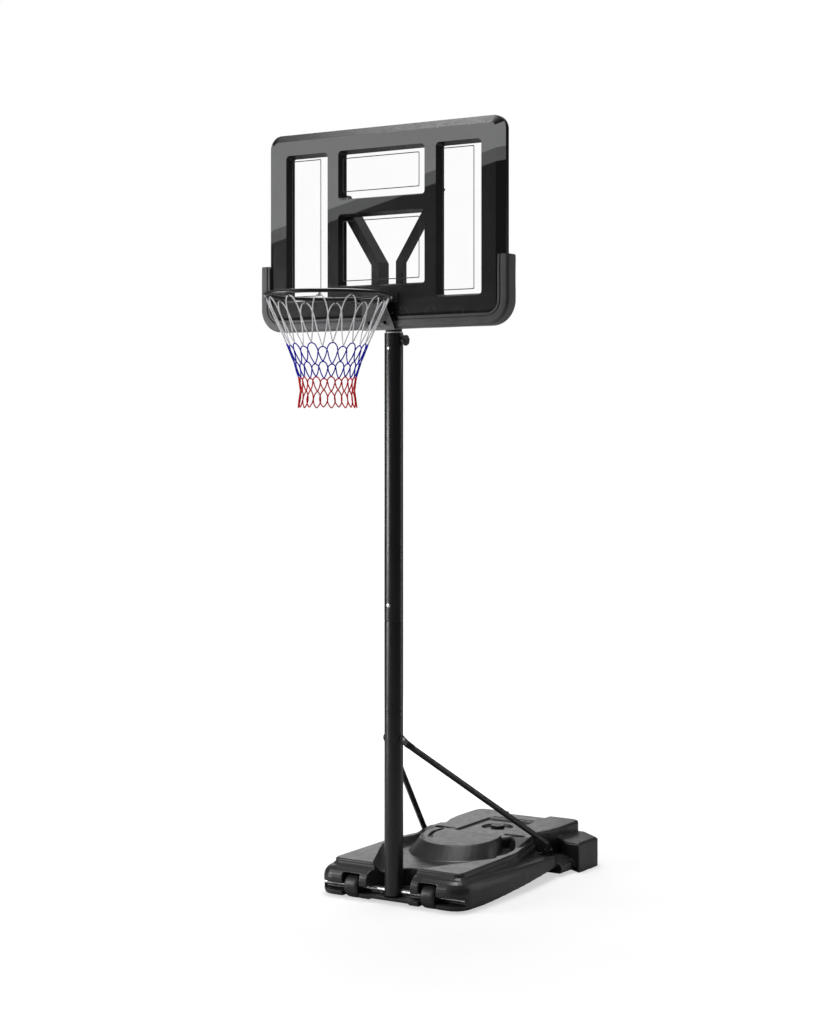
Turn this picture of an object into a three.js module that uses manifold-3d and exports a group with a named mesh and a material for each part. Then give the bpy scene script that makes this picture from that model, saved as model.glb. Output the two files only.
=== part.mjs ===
// Portable basketball hoop: a wheeled ballast base, a telescoping pole with two rear struts, and a framed
// clear backboard that carries a steel rim and net. It is drawn at its lowest setting, an 8 ft rim.
// Units are millimetres. +Z is up, -Y is the court side and +X is the right-hand side seen from the court.
// Every size below is measured from the pole's axis at floor level; the whole group is then moved so that
// the origin sits on the floor at the middle of the overall footprint.

import * as THREE from "three";
import { mergeVertices } from "three/addons/utils/BufferGeometryUtils.js";
import { ConvexGeometry } from "three/addons/geometries/ConvexGeometry.js";
import { ParametricGeometry } from "three/addons/geometries/ParametricGeometry.js";
import Module from "manifold-3d";

// ---------- driving dimensions ----------

const GAP = 0.3; // clearance between touching pieces
const M8 = { shank: 4, hole: 4.4, bore: 4.2, flats: 13, head: 5.5, nut: 7 };
const M10 = { shank: 5, hole: 5.4, bore: 5.2, flats: 16, head: 6.5, nut: 8 };

const POLE = { radius: 38, wall: 1.5, foot: 33, joint: 1138, top: 2300, swageTop: 1238 };
const INNER_POLE = { radius: 33.5, wall: 2, bottom: 1450, top: 2478 };
const BUSH = { flangeHeight: 5, sleeveBottom: 2190, outer: 36.2, inner: 33.8, screwHeight: 2241 };
const KNOB = { height: 2271, radius: 22.5, inner: 47.5, outer: 64, lobes: 7 };
const JOINT_BOLT_HEIGHT = 1203;

const AXLE = { radius: 8, height: 48, halfLength: 334 };
const WHEEL = { radius: 48, width: 68, offset: 182, bore: 8.4 };

const BASE = {
  front: -45,
  rear: 1158.5,
  underside: 8,
  halfWidth: 345,
  bowedHalfWidth: 372,
  railEnd: 790,
  railTopFront: 123,
  railTopRear: 88,
  nose: 46,
  deckTop: 147,
  ledgeTop: 128,
  deckHalfWidth: 306,
  deckFront: 14,
  deckBottom: 50,
};
const SLOT = { frontHalfWidth: 98, rearHalfWidth: 50, end: 168, lipTop: 28, lipSide: 56 };
const DRUM = {
  y: 538,
  radius: 176,
  frontTop: 169,
  rearTop: 185,
  rear: 604,
  footY: 480,
  footWide: 205,
  footDeep: 174,
};
const BOWL = { y: 452, floor: 118, floorRadius: 262, topRadius: 277 };
const REAR_DECK = { top: 168, channel: 160, front: 611, notchFront: 1104, notchHalfWidth: 108, notchFloor: 150 };
const REAR_DECK_SIDE = [[150, 620], [218, 786], [246, 873], [256, 960]];
const FILLER = { y: 858, recessRadius: 72, recessFloor: 150, neckRadius: 24 };
const CAP = { radius: 30, height: 14, plugRadius: 22.5, plugDepth: 12 };
const WING_TOP = { left: 108, right: 127 };

const STRUT = {
  radius: 12.5,
  topZ: 665,
  footX: 294,
  footY: 804,
  footZ: 95,
  lugInner: 276,
  tab: 3.2,
  tabWidth: 32,
};

const BOARD = {
  halfWidth: 558.5,
  bottom: 2341,
  top: 3128,
  cornerRadius: 56,
  front: -98,
  back: -50,
  faceInset: 31,
  chamferDepth: 24,
  skin: 4,
};
const PANEL = { thickness: 3, front: -101.3, halfWidth: 525, bottom: 2352, top: 3095, cornerRadius: 26 };
const WINDOWS = [
  { x: -360, z: 2735.5, width: 206, height: 607 },
  { x: 360, z: 2735.5, width: 206, height: 607 },
  { x: 0, z: 2940, width: 410, height: 200 },
  { x: 0, z: 2634.5, width: 410, height: 297 },
];
const WINDOW_DRAFT = 10;
const WINDOW_CORNER = 16;
const PAD = {
  halfWidth: 587,
  bottom: 2313,
  top: 2586,
  cornerRadius: 98,
  front: -109,
  back: -41.5,
  lip: 48,
  notchHalfWidth: 88,
};

const RIM = { y: -474, height: 2425, radius: 236.5, bar: 8, hooks: 12 };
const RIM_PLATE = { halfWidth: 85, bottom: 2343, top: 2455, back: -101.6, thickness: 4 };
const RIM_BOLTS = [
  { side: "left", row: "upper", x: -57, z: 2433 },
  { side: "right", row: "upper", x: 57, z: 2433 },
  { side: "left", row: "lower", x: -57, z: 2374 },
  { side: "right", row: "lower", x: 57, z: 2374 },
];
const NET = { top: 2398, bottom: 1992, wall: 3 };

const BRACKET = { web: 41, sheet: 3, flange: 35, rear: 27, bottom: 2362, bend: 2580, endX: 229, endZ: 2846 };
const CROSS_BOLTS = [
  { row: "lower", z: 2400 },
  { row: "upper", z: 2452 },
];

// The rim's front point and the base's rear edge are the two ends of the footprint.
const HOOP_FRONT = RIM.y - RIM.radius - RIM.bar;
const FOOTPRINT_MIDDLE = (HOOP_FRONT + BASE.rear) / 2;

// ---------- materials ----------

function finish(color, roughness, metalness) {
  return new THREE.MeshStandardMaterial({ color, roughness, metalness });
}
const blackPlastic = finish(0x161617, 0.42, 0);
const blackPaint = finish(0x101011, 0.32, 0.15);
const greyPad = finish(0x3c3e40, 0.6, 0);
const brightSteel = finish(0xc9ccd0, 0.28, 1);
const blackRubber = finish(0x141414, 0.8, 0);
const whiteNylon = finish(0xe9e9e4, 0.45, 0);
const clearSheet = finish(0xdfe6ea, 0.05, 0);
clearSheet.transparent = true;
clearSheet.opacity = 0.3;
const netCord = finish(0xe6e6ea, 0.85, 0);

// ---------- solids ----------

const wasm = await Module();
wasm.setup();

// A closed geometry as a solid that can be joined or cut.
function solid(geometry) {
  const plain = geometry.clone();
  plain.deleteAttribute("normal");
  plain.deleteAttribute("uv");
  const merged = mergeVertices(plain, 1e-3);
  const vertProperties = new Float32Array(merged.attributes.position.array);
  const triVerts = new Uint32Array(merged.index.array);
  return new wasm.Manifold(new wasm.Mesh({ numProp: 3, vertProperties, triVerts }));
}

function geometryOf(manifold) {
  const raw = manifold.getMesh();
  const geometry = new THREE.BufferGeometry();
  geometry.setAttribute("position", new THREE.BufferAttribute(new Float32Array(raw.vertProperties), 3));
  geometry.setIndex(new THREE.BufferAttribute(new Uint32Array(raw.triVerts), 1));
  geometry.computeVertexNormals();
  return geometry;
}

const join = (parts) => parts.reduce((whole, part) => whole.add(part));
const cut = (body, tools) => tools.reduce((left, tool) => left.subtract(tool), body);

const hoop = new THREE.Group();
hoop.position.y = -FOOTPRINT_MIDDLE;

function addMesh(name, shape, material) {
  const geometry = shape.isBufferGeometry ? shape : geometryOf(shape);
  const mesh = new THREE.Mesh(geometry, material);
  mesh.name = name;
  hoop.add(mesh);
}

const X_AXIS = new THREE.Vector3(1, 0, 0);
const Y_AXIS = new THREE.Vector3(0, 1, 0);
const Z_AXIS = new THREE.Vector3(0, 0, 1);
const TO_SIDE = new THREE.Matrix4().makeBasis(Y_AXIS, Z_AXIS, X_AXIS);
const TO_FRONT = new THREE.Matrix4().makeBasis(X_AXIS, Z_AXIS, Y_AXIS.clone().negate());

function block(x0, x1, y0, y1, z0, z1) {
  const box = new THREE.BoxGeometry(x1 - x0, y1 - y0, z1 - z0);
  return box.translate((x0 + x1) / 2, (y0 + y1) / 2, (z0 + z1) / 2);
}

// A round bar from one point to another.
function bar(from, to, radius, segments = 16, endRadius = radius) {
  const start = new THREE.Vector3(...from);
  const end = new THREE.Vector3(...to);
  const run = end.clone().sub(start);
  const cylinder = new THREE.CylinderGeometry(endRadius, radius, run.length(), segments);
  cylinder.applyQuaternion(new THREE.Quaternion().setFromUnitVectors(Y_AXIS, run.clone().normalize()));
  return cylinder.translate(...start.add(end).multiplyScalar(0.5).toArray());
}

// A profile of [radius, height] points turned about the vertical pole axis. It closes on itself.
function turned(points, segments = 28) {
  const profile = [...points, points[0]].map(([radius, height]) => new THREE.Vector2(radius, height));
  return new THREE.LatheGeometry(profile, segments).rotateX(Math.PI / 2);
}

const pipe = (inner, outer, z0, z1, segments = 28) =>
  turned([[inner, z0], [outer, z0], [outer, z1], [inner, z1]], segments);

// The same, turned about the X axis, for pieces on cross bolts and the axle. Heights run along +X.
const turnedOnX = (points, segments = 28) => turned(points, segments).rotateY(Math.PI / 2);

function outline(points) {
  return new THREE.Shape(points.map(([a, b]) => new THREE.Vector2(a, b)));
}

function roundedBox(x0, x1, y0, y1, radius, lowerRadius = radius) {
  const shape = new THREE.Shape();
  shape.moveTo(x0 + lowerRadius, y0);
  shape.lineTo(x1 - lowerRadius, y0);
  shape.absarc(x1 - lowerRadius, y0 + lowerRadius, lowerRadius, -Math.PI / 2, 0);
  shape.lineTo(x1, y1 - radius);
  shape.absarc(x1 - radius, y1 - radius, radius, 0, Math.PI / 2);
  shape.lineTo(x0 + radius, y1);
  shape.absarc(x0 + radius, y1 - radius, radius, Math.PI / 2, Math.PI);
  shape.lineTo(x0, y0 + lowerRadius);
  shape.absarc(x0 + lowerRadius, y0 + lowerRadius, lowerRadius, Math.PI, Math.PI * 1.5);
  return shape;
}

const NO_BEVEL = { bevelEnabled: false, curveSegments: 6 };
const COARSE = { bevelEnabled: false, curveSegments: 3 };

// Rounded extrusion edges of this size.
function rounded(edge, bevelSegments, curveSegments = 6) {
  return { bevelEnabled: true, bevelThickness: edge, bevelSize: edge, bevelSegments, curveSegments };
}

// A shape in X and Y raised from z0 to z1.
function planPrism(shape, z0, z1, options = NO_BEVEL) {
  return new THREE.ExtrudeGeometry(shape, { depth: z1 - z0, ...options }).translate(0, 0, z0);
}

// A shape in Y and Z, running from x0 to x1.
function sidePrism(shape, x0, x1) {
  const prism = new THREE.ExtrudeGeometry(shape, { depth: x1 - x0, ...NO_BEVEL });
  return prism.applyMatrix4(TO_SIDE).translate(x0, 0, 0);
}

// A shape in X and Z, running from y0 at the court side back to y1.
function frontPrism(shape, y0, y1, options = NO_BEVEL) {
  const prism = new THREE.ExtrudeGeometry(shape, { depth: y1 - y0, ...options });
  return prism.applyMatrix4(TO_FRONT).translate(0, y1, 0);
}

const mirrored = (geometry) => {
  const copy = geometry.clone().scale(-1, 1, 1);
  const index = copy.index ? copy.index.array : null;
  const flat = index ? copy : mergeVertices(copy, 1e-6);
  const faces = flat.index.array;
  for (let i = 0; i < faces.length; i += 3) {
    const first = faces[i];
    faces[i] = faces[i + 1];
    faces[i + 1] = first;
  }
  return flat;
};

const bothSides = (shapes) => shapes.flatMap((shape) => [solid(shape), solid(mirrored(shape))]);

const SIDES = [
  { name: "left", sign: -1 },
  { name: "right", sign: 1 },
];

// ---------- fasteners ----------

// A hexagonal prism, its flat underside at the origin, pointing along +Z.
function hexHead(acrossFlats, height) {
  const radius = acrossFlats / Math.sqrt(3);
  return solid(bar([0, 0, 0], [0, 0, height], radius, 6));
}

function domeHead(radius, height) {
  const profile = [[0, 0], [radius, 0], [radius * 0.86, height * 0.6], [0, height]];
  return solid(turned(profile, 14));
}

const ALONG = {
  "+X": new THREE.Matrix4().makeRotationY(Math.PI / 2),
  "-X": new THREE.Matrix4().makeRotationY(-Math.PI / 2),
  "+Y": new THREE.Matrix4().makeRotationX(-Math.PI / 2),
  "-Y": new THREE.Matrix4().makeRotationX(Math.PI / 2),
  "+Z": new THREE.Matrix4(),
};

function place(piece, direction, at) {
  const turn = ALONG[direction];
  const shift = new THREE.Matrix4().makeTranslation(...at);
  return solid(geometryOf(piece).applyMatrix4(shift.multiply(turn)));
}

// A bolt whose head's underside is at `at`, with its shank running back from the head.
function bolt(head, direction, at, shankRadius, shankLength) {
  const shank = solid(bar([0, 0, 1], [0, 0, -shankLength], shankRadius, 10));
  return place(head.add(shank), direction, at);
}

function hexBolt(size, direction, at, length) {
  return bolt(hexHead(size.flats, size.head), direction, at, size.shank, length);
}

// A nut whose seat is at `at`. Its bore clears the shank it sits on.
function nut(size, direction, at) {
  const bore = solid(bar([0, 0, -1], [0, 0, size.nut + 1], size.bore, 10));
  return place(hexHead(size.flats, size.nut).subtract(bore), direction, at);
}

// ---------- base ----------

// The rounded plan of the front body: two lobes in front, bowed sides and a straight rear.
function frontBodyPlan(inset) {
  const half = BASE.halfWidth - inset;
  const bowed = BASE.bowedHalfWidth - inset;
  const front = BASE.front + inset;
  const rear = BASE.railEnd - inset;
  const shape = new THREE.Shape();
  shape.moveTo(-half + 30, front);
  shape.lineTo(half - 30, front);
  shape.quadraticCurveTo(half, front, half + 3, 40);
  shape.quadraticCurveTo(bowed + 8, 360, half + 8, rear - 20);
  shape.quadraticCurveTo(half + 6, rear, half - 14, rear);
  shape.lineTo(-half + 14, rear);
  shape.quadraticCurveTo(-half - 6, rear, -half - 8, rear - 20);
  shape.quadraticCurveTo(-bowed - 8, 360, -half - 3, 40);
  shape.quadraticCurveTo(-half, front, -half + 30, front);
  return shape;
}

// The side view of the rails: a top that falls towards the rear and an underside that rises.
function railSide() {
  return outline([
    [BASE.front - 5, BASE.underside],
    [120, BASE.underside],
    [BASE.railEnd + 5, 48],
    [BASE.railEnd + 5, BASE.railTopRear],
    [60, BASE.railTopFront],
    [BASE.front - 5, BASE.railTopFront],
  ]);
}

// The deck between the rails, with a softened top edge. A larger `grow` makes the ledge below it.
function deckBlock(grow, top) {
  const edge = 5;
  const half = BASE.deckHalfWidth + grow - edge;
  const front = BASE.deckFront - grow + edge;
  const plan = outline([
    [-half + 24, front],
    [half - 24, front],
    [half - 7, front + 7],
    [half, front + 26],
    [half, 480],
    [half - 44, 672],
    [half - 62, 735],
    [-half + 62, 735],
    [-half + 44, 672],
    [-half, 480],
    [-half, front + 26],
    [-half + 7, front + 7],
  ]);
  return solid(planPrism(plan, BASE.deckBottom, top - edge, rounded(edge, 1)));
}

// The shoulders that ramp from the deck up to the rear deck, outside the bowl.
function shoulderBlock() {
  const stations = [
    [262, 560, BASE.deckTop - 1],
    [252, 690, REAR_DECK.top],
    [224, 800, REAR_DECK.top],
  ];
  const points = stations.flatMap(([x, y, z]) => [
    new THREE.Vector3(-x, y, z),
    new THREE.Vector3(x, y, z),
    new THREE.Vector3(-x, y, BASE.deckBottom),
    new THREE.Vector3(x, y, BASE.deckBottom),
  ]);
  return solid(new ConvexGeometry(points));
}

// Both rails and lobes, bull-nosed all round. The lower roll is cut short by the flat underside.
function railBody() {
  const { nose, underside, railTopFront, bowedHalfWidth } = BASE;
  const lowerRoll = 24;
  const plan = planPrism(frontBodyPlan(nose), underside + lowerRoll, railTopFront - nose, rounded(nose, 4, 5));
  return solid(plan).intersect(solid(sidePrism(railSide(), -bowedHalfWidth, bowedHalfWidth)));
}

// The raised rear deck, flared towards the rear, with softened top edges.
function rearDeckBlock() {
  const edge = 9;
  const radius = 46;
  const rear = BASE.rear - edge;
  const half = REAR_DECK_SIDE[REAR_DECK_SIDE.length - 1][0];
  const shape = new THREE.Shape();
  shape.moveTo(-REAR_DECK_SIDE[0][0], REAR_DECK.front + edge);
  for (const [x, y] of REAR_DECK_SIDE) shape.lineTo(x, y);
  shape.lineTo(half, rear - radius);
  shape.quadraticCurveTo(half, rear, half - radius, rear);
  shape.lineTo(-half + radius, rear);
  shape.quadraticCurveTo(-half, rear, -half, rear - radius);
  for (const [x, y] of [...REAR_DECK_SIDE].reverse()) shape.lineTo(-x, y);
  return solid(planPrism(shape, BASE.underside + edge, REAR_DECK.top - edge, rounded(edge, 2)));
}

// A swept foot block at each rear corner. Its underside stands on the floor.
function wingBlock(top) {
  const edge = 7;
  const rear = [
    [405, 1034],
    [300, 1114],
    [240, 1118],
  ];
  const base = [[262, 950], [340, 905], [398, 866], ...rear];
  const upper = [[262, 938], [326, 872], [400, 857], ...rear];
  const ring = (points, z, inset) =>
    points.map(([x, y]) => new THREE.Vector3(x - (x > 300 ? inset : 0), y + (y < 960 ? inset : -inset), z));
  return new ConvexGeometry([...ring(base, 0, 0), ...ring(upper, top - edge, 0), ...ring(upper, top, edge)]);
}

// The low body that joins a rail's rear end to the foot block behind it.
function linkBlock() {
  const ring = (inset, z) => {
    const plan = [[290, 760], [368 - inset, 760], [374 - inset, 882], [290, 900]];
    return plan.map(([x, y]) => new THREE.Vector3(x, y, z));
  };
  return new ConvexGeometry([...ring(8, 12), ...ring(0, 22), ...ring(2, 44), ...ring(12, 55)]);
}

// The drum in the bowl: a skirt that leans back to a round top. The top rises gently to a square-cut rear.
function drumBlock() {
  const { y, radius, frontTop, rearTop, rear, footY, footWide, footDeep } = DRUM;
  const steps = 40;
  const edge = 3;
  const footZ = BOWL.floor - 4;
  const points = [];
  for (let i = 0; i < steps; i += 1) {
    const across = Math.cos((i / steps) * Math.PI * 2);
    const along = Math.sin((i / steps) * Math.PI * 2);
    const topY = Math.min(y + radius * along, rear);
    const topZ = frontTop + ((topY - y + radius) / (rear - y + radius)) * (rearTop - frontTop);
    const rimY = Math.min(topY, y + (radius - edge) * along);
    points.push(new THREE.Vector3(radius * across, topY, topZ - edge));
    points.push(new THREE.Vector3((radius - edge) * across, rimY, topZ));
    points.push(new THREE.Vector3(footWide * across, Math.min(footY + footDeep * along, rear), footZ));
  }
  const corner = radius - 8;
  for (const x of [-corner, corner]) points.push(new THREE.Vector3(x, rear, footZ));
  return solid(new ConvexGeometry(points));
}

// The shallow arc groove near the drum's left edge.
function drumGroove() {
  const shape = new THREE.Shape();
  const middle = Math.PI + 0.08;
  const sweep = 0.66;
  shape.absarc(0, 0, 139, middle - sweep, middle + sweep, false);
  shape.absarc(0, 0, 125, middle + sweep, middle - sweep, true);
  return solid(planPrism(shape, DRUM.frontTop, DRUM.rearTop + 10).translate(0, DRUM.y, 0));
}

// The open slot the pole stands in. Its lower corners are sloped, so its floor is a shallow cradle.
function slotCut() {
  const { frontHalfWidth: wide, rearHalfWidth: narrow, end, lipTop, lipSide } = SLOT;
  const shape = new THREE.Shape();
  shape.moveTo(-wide - 8, BASE.front - 20);
  shape.lineTo(wide + 8, BASE.front - 20);
  shape.lineTo(wide, 30);
  shape.lineTo(narrow, end - 34);
  shape.quadraticCurveTo(narrow - 6, end, 0, end);
  shape.quadraticCurveTo(-narrow + 6, end, -narrow, end - 34);
  shape.lineTo(-wide, 30);
  const cradle = outline([
    [-wide - 8, lipSide],
    [-wide * 0.72, lipTop + 6],
    [-wide * 0.45, lipTop],
    [wide * 0.45, lipTop],
    [wide * 0.72, lipTop + 6],
    [wide + 8, lipSide],
    [wide + 8, 220],
    [-wide - 8, 220],
  ]);
  const across = solid(frontPrism(cradle, BASE.front - 20, end + 5));
  return solid(planPrism(shape, lipTop, 220)).intersect(across);
}

// The funnel in front of the bowl: the lobes' inner walls spread and slope. Its floor falls forwards.
function funnelCut() {
  const ring = (frontHalf, rearHalf, frontZ, rearZ) =>
    [-1, 1].flatMap((sign) => [
      new THREE.Vector3(sign * frontHalf, BASE.front - 15, frontZ),
      new THREE.Vector3(sign * rearHalf, 345, rearZ),
      new THREE.Vector3(sign * rearHalf * 0.9, 430, rearZ),
    ]);
  const top = BASE.deckTop + 3;
  return solid(new ConvexGeometry([...ring(77, 280, top, top), ...ring(26, 232, 95, BOWL.floor)]));
}

// The bowl round the drum, in front of the rear deck.
function bowlCut() {
  const { y, floor, floorRadius, topRadius } = BOWL;
  const cone = bar([0, y, floor], [0, y, REAR_DECK.top + 6], floorRadius, 44, topRadius + 9);
  return solid(cone).intersect(solid(block(-300, 300, 200, 692, 0, 260)));
}

// The floor of each strut pocket, joining the rails, the rear deck and the foot blocks.
const pocketSill = () => block(-322, 322, 690, 950, 30, 58);

// Everything cut from the outside of the base, right-hand side; it is mirrored for the left.
function sideCuts() {
  const inner = WHEEL.offset - WHEEL.width / 2 - 7;
  const outer = WHEEL.offset + WHEEL.width / 2 + 7;
  const arch = bar([inner, 4, AXLE.height], [outer, 4, AXLE.height], WHEEL.radius + 8, 28);
  return [
    arch,
    block(inner, outer, BASE.front - 20, 4, -5, AXLE.height + 56),
    block(inner, outer, BASE.front - 20, 60, -5, AXLE.height),
    block(60, AXLE.halfLength + 3, BASE.front - 20, AXLE.radius + 1.5, 28, AXLE.height + 9.5),
    block(262, 338, 722, 884, 58, 240),
  ].map(solid);
}

// Shallow oval slots in the rear deck, right-hand side.
const deckSlots = () => [
  new ConvexGeometry(slotPoints(60, 1007, 45, 9, 156, 180)),
  new ConvexGeometry(slotPoints(174, 696, 50, 16, 150, 180)),
];

// The corner points of an oval slot, long along X.
function slotPoints(x, y, halfLength, halfWidth, z0, z1) {
  const points = [];
  const steps = 12;
  for (let i = 0; i < steps; i += 1) {
    const angle = (i / steps) * Math.PI * 2;
    const px = x + Math.cos(angle) * halfWidth + Math.sign(Math.cos(angle)) * (halfLength - halfWidth);
    const py = y + Math.sin(angle) * halfWidth;
    points.push(new THREE.Vector3(px, py, z0), new THREE.Vector3(px, py, z1));
  }
  return points;
}

// The lug in each pocket that a strut's foot is bolted to.
function strutLug() {
  const { footY, footZ } = STRUT;
  const shape = new THREE.Shape();
  shape.moveTo(footY - 28, 40);
  shape.lineTo(footY + 28, 40);
  shape.lineTo(footY + 20, footZ);
  shape.absarc(footY, footZ, 20, 0, Math.PI);
  return sidePrism(shape, STRUT.lugInner, STRUT.footX - STRUT.tab / 2 - GAP);
}

const strutBoltHole = () => bar([262, STRUT.footY, STRUT.footZ], [330, STRUT.footY, STRUT.footZ], 4.5, 16);

// The ballast space. Its parts overlap, so it is one hollow that opens only at the filler neck.
function ballastSpace() {
  const { y, neckRadius, recessFloor } = FILLER;
  const skin = 7;
  const wing = (top) =>
    new ConvexGeometry(
      [[215, 962], [338, 915], [386, 884], [394, 1030], [296, 1100], [215, 1100]].flatMap(([px, py]) => [
        new THREE.Vector3(px, py, skin),
        new THREE.Vector3(px - (px > 300 ? 14 : 0), py, top - skin),
      ]),
    );
  const lobe = block(122, 306, 68, 262, 22, 86);
  const rail = block(260, 328, 240, 470, 37, 72);
  const drum = solid(bar([0, DRUM.y, 80], [0, DRUM.y, DRUM.frontTop - 12], DRUM.radius - 14, 20));
  const underDrum = solid(block(-200, 200, 300, DRUM.rear - skin, 0, 240));
  const centre = [
    block(-268, 268, 200, 480, 37, 94),
    block(-268, 268, 470, 690, 57, 94),
    block(-140, 140, 640, 760, 57, 142),
    block(-198, 198, 752, 1147, 16, 142),
    bar([0, y, 120], [0, y, recessFloor + 20], neckRadius, 24),
  ].map(solid);
  const wings = [wing(WING_TOP.right), mirrored(wing(WING_TOP.left))].map(solid);
  return [...centre, drum.intersect(underDrum), ...bothSides([lobe, rail]), ...wings];
}

function makeBaseTank() {
  const outside = join([
    railBody(),
    deckBlock(8, BASE.ledgeTop),
    deckBlock(0, BASE.deckTop),
    shoulderBlock(),
    solid(pocketSill()),
    ...bothSides([linkBlock()]),
  ]);
  const right = sideCuts();
  const left = right.map((tool) => solid(mirrored(geometryOf(tool))));
  const shaped = cut(outside, [bowlCut(), funnelCut(), slotCut(), ...right, ...left]);
  const whole = join([
    shaped,
    rearDeckBlock(),
    drumBlock(),
    solid(wingBlock(WING_TOP.right)),
    solid(mirrored(wingBlock(WING_TOP.left))),
    ...bothSides([strutLug()]),
  ]);
  const { y, recessRadius, recessFloor } = FILLER;
  const { top, channel, front, notchFront, notchHalfWidth, notchFloor } = REAR_DECK;
  const belly = SLOT.frontHalfWidth - 4;
  return cut(whole, [
    solid(block(-belly, belly, BASE.front - 20, 110, -5, 15)),
    drumGroove(),
    solid(block(-182, 182, DRUM.rear, front, notchFloor, 240)),
    solid(block(-113, 113, front - 4, 985, channel, 240)),
    solid(block(-notchHalfWidth, notchHalfWidth, notchFront, BASE.rear + 2, notchFloor, 240)),
    solid(bar([0, y, recessFloor], [0, y, top + 30], recessRadius - 5, 32, recessRadius + 4)),
    ...bothSides([...deckSlots(), strutBoltHole()]),
    ...ballastSpace(),
  ]);
}

function makeFillerCap() {
  const { radius, height, plugRadius, plugDepth } = CAP;
  const seat = FILLER.recessFloor + GAP + 3 + GAP;
  const body = turned(
    [
      [0, seat - plugDepth],
      [plugRadius, seat - plugDepth],
      [plugRadius, seat],
      [radius, seat],
      [radius, seat + height - 2],
      [radius - 2, seat + height],
      [0, seat + height],
    ],
    28,
  );
  const grips = [];
  const count = 8;
  for (let i = 0; i < count; i += 1) {
    const angle = (i / count) * Math.PI * 2;
    const x = Math.cos(angle) * (radius + 1.2);
    const y = Math.sin(angle) * (radius + 1.2);
    grips.push(solid(bar([x, y, seat - 1], [x, y, seat + height + 1], 3, 6)));
  }
  const slot = solid(block(-18, 18, -3, 3, seat + height - 5, seat + height + 1));
  return geometryOf(cut(solid(body), [...grips, slot])).translate(0, FILLER.y, 0);
}

function makeCapSeal() {
  const bottom = FILLER.recessFloor + GAP;
  return pipe(24.5, 28.5, bottom, bottom + 3, 24).translate(0, FILLER.y, 0);
}

function makeWheel() {
  const half = WHEEL.width / 2;
  const { radius, bore } = WHEEL;
  return turnedOnX(
    [
      [bore, -half],
      [18, -half],
      [18, -half + 9],
      [36, -half + 9],
      [36, -half + 1],
      [radius - 7, -half + 1],
      [radius, -half + 9],
      [radius, half - 9],
      [radius - 7, half - 1],
      [36, half - 1],
      [36, half - 9],
      [18, half - 9],
      [18, half],
      [bore, half],
    ],
    28,
  );
}

function addBase() {
  addMesh("base_tank", makeBaseTank(), blackPlastic);
  addMesh("filler_cap", makeFillerCap(), blackPlastic);
  addMesh("cap_seal", makeCapSeal(), blackRubber);
  const { halfLength, height, radius } = AXLE;
  addMesh("axle_rod", bar([-halfLength, 0, height], [halfLength, 0, height], radius, 20), brightSteel);
  for (const { name, sign } of SIDES) {
    addMesh(`wheel_${name}`, makeWheel().translate(sign * WHEEL.offset, 0, height), blackPlastic);
  }
}

// ---------- pole ----------

// A hole of this radius right through the pole, along X or Y.
function crossHole(axis, z, radius, from = -60, to = 60) {
  const point = (at) => (axis === "X" ? [at, 0, z] : [0, at, z]);
  return solid(bar(point(from), point(to), radius, 12));
}

function makePoleLower() {
  const { radius, wall, foot, joint, swageTop } = POLE;
  const neck = radius - wall - GAP;
  const tube = turned([
    [radius - wall, foot],
    [radius, foot],
    [radius, joint - 3],
    [neck, joint + 1],
    [neck, swageTop],
    [neck - wall, swageTop],
    [neck - wall, joint + 1],
    [radius - wall, joint - 6],
  ]);
  return cut(solid(tube), [
    crossHole("X", AXLE.height, AXLE.radius + GAP),
    crossHole("X", STRUT.topZ, M8.hole),
    crossHole("Y", JOINT_BOLT_HEIGHT, M8.hole),
  ]);
}

function makePoleUpper() {
  const { radius, wall, joint, top } = POLE;
  const tube = turned([
    [radius - wall, joint + 1 + GAP],
    [radius - 1, joint + 1 + GAP],
    [radius, joint + 3],
    [radius, top - 1],
    [radius - 1, top],
    [radius - wall, top],
  ]);
  return cut(solid(tube), [
    crossHole("Y", JOINT_BOLT_HEIGHT, M8.hole),
    crossHole("Y", BUSH.screwHeight, 2.9, -60, 0),
    crossHole("X", KNOB.height, M10.hole, 0, 60),
  ]);
}

function makePoleBush() {
  const { outer, inner, sleeveBottom, flangeHeight, screwHeight } = BUSH;
  const seat = POLE.top + GAP;
  const ring = turned([
    [inner, sleeveBottom],
    [outer, sleeveBottom],
    [outer, seat],
    [POLE.radius, seat],
    [POLE.radius, seat + flangeHeight - 1],
    [POLE.radius - 1, seat + flangeHeight],
    [inner, seat + flangeHeight],
  ]);
  return cut(solid(ring), [
    crossHole("Y", screwHeight, 2.9, -60, 0),
    crossHole("X", KNOB.height, M10.hole, 0, 60),
  ]);
}

function makePoleInner() {
  const { radius, wall, bottom, top } = INNER_POLE;
  return cut(
    solid(pipe(radius - wall, radius, bottom, top)),
    CROSS_BOLTS.map(({ z }) => crossHole("X", z, M10.hole)),
  );
}

function makeInnerCap() {
  const { radius, wall, top } = INNER_POLE;
  const plug = radius - wall - GAP;
  return turned(
    [
      [0, top - 14],
      [plug, top - 14],
      [plug, top + GAP],
      [radius, top + GAP],
      [radius - 1, top + 5],
      [0, top + 5],
    ],
    24,
  );
}

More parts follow.
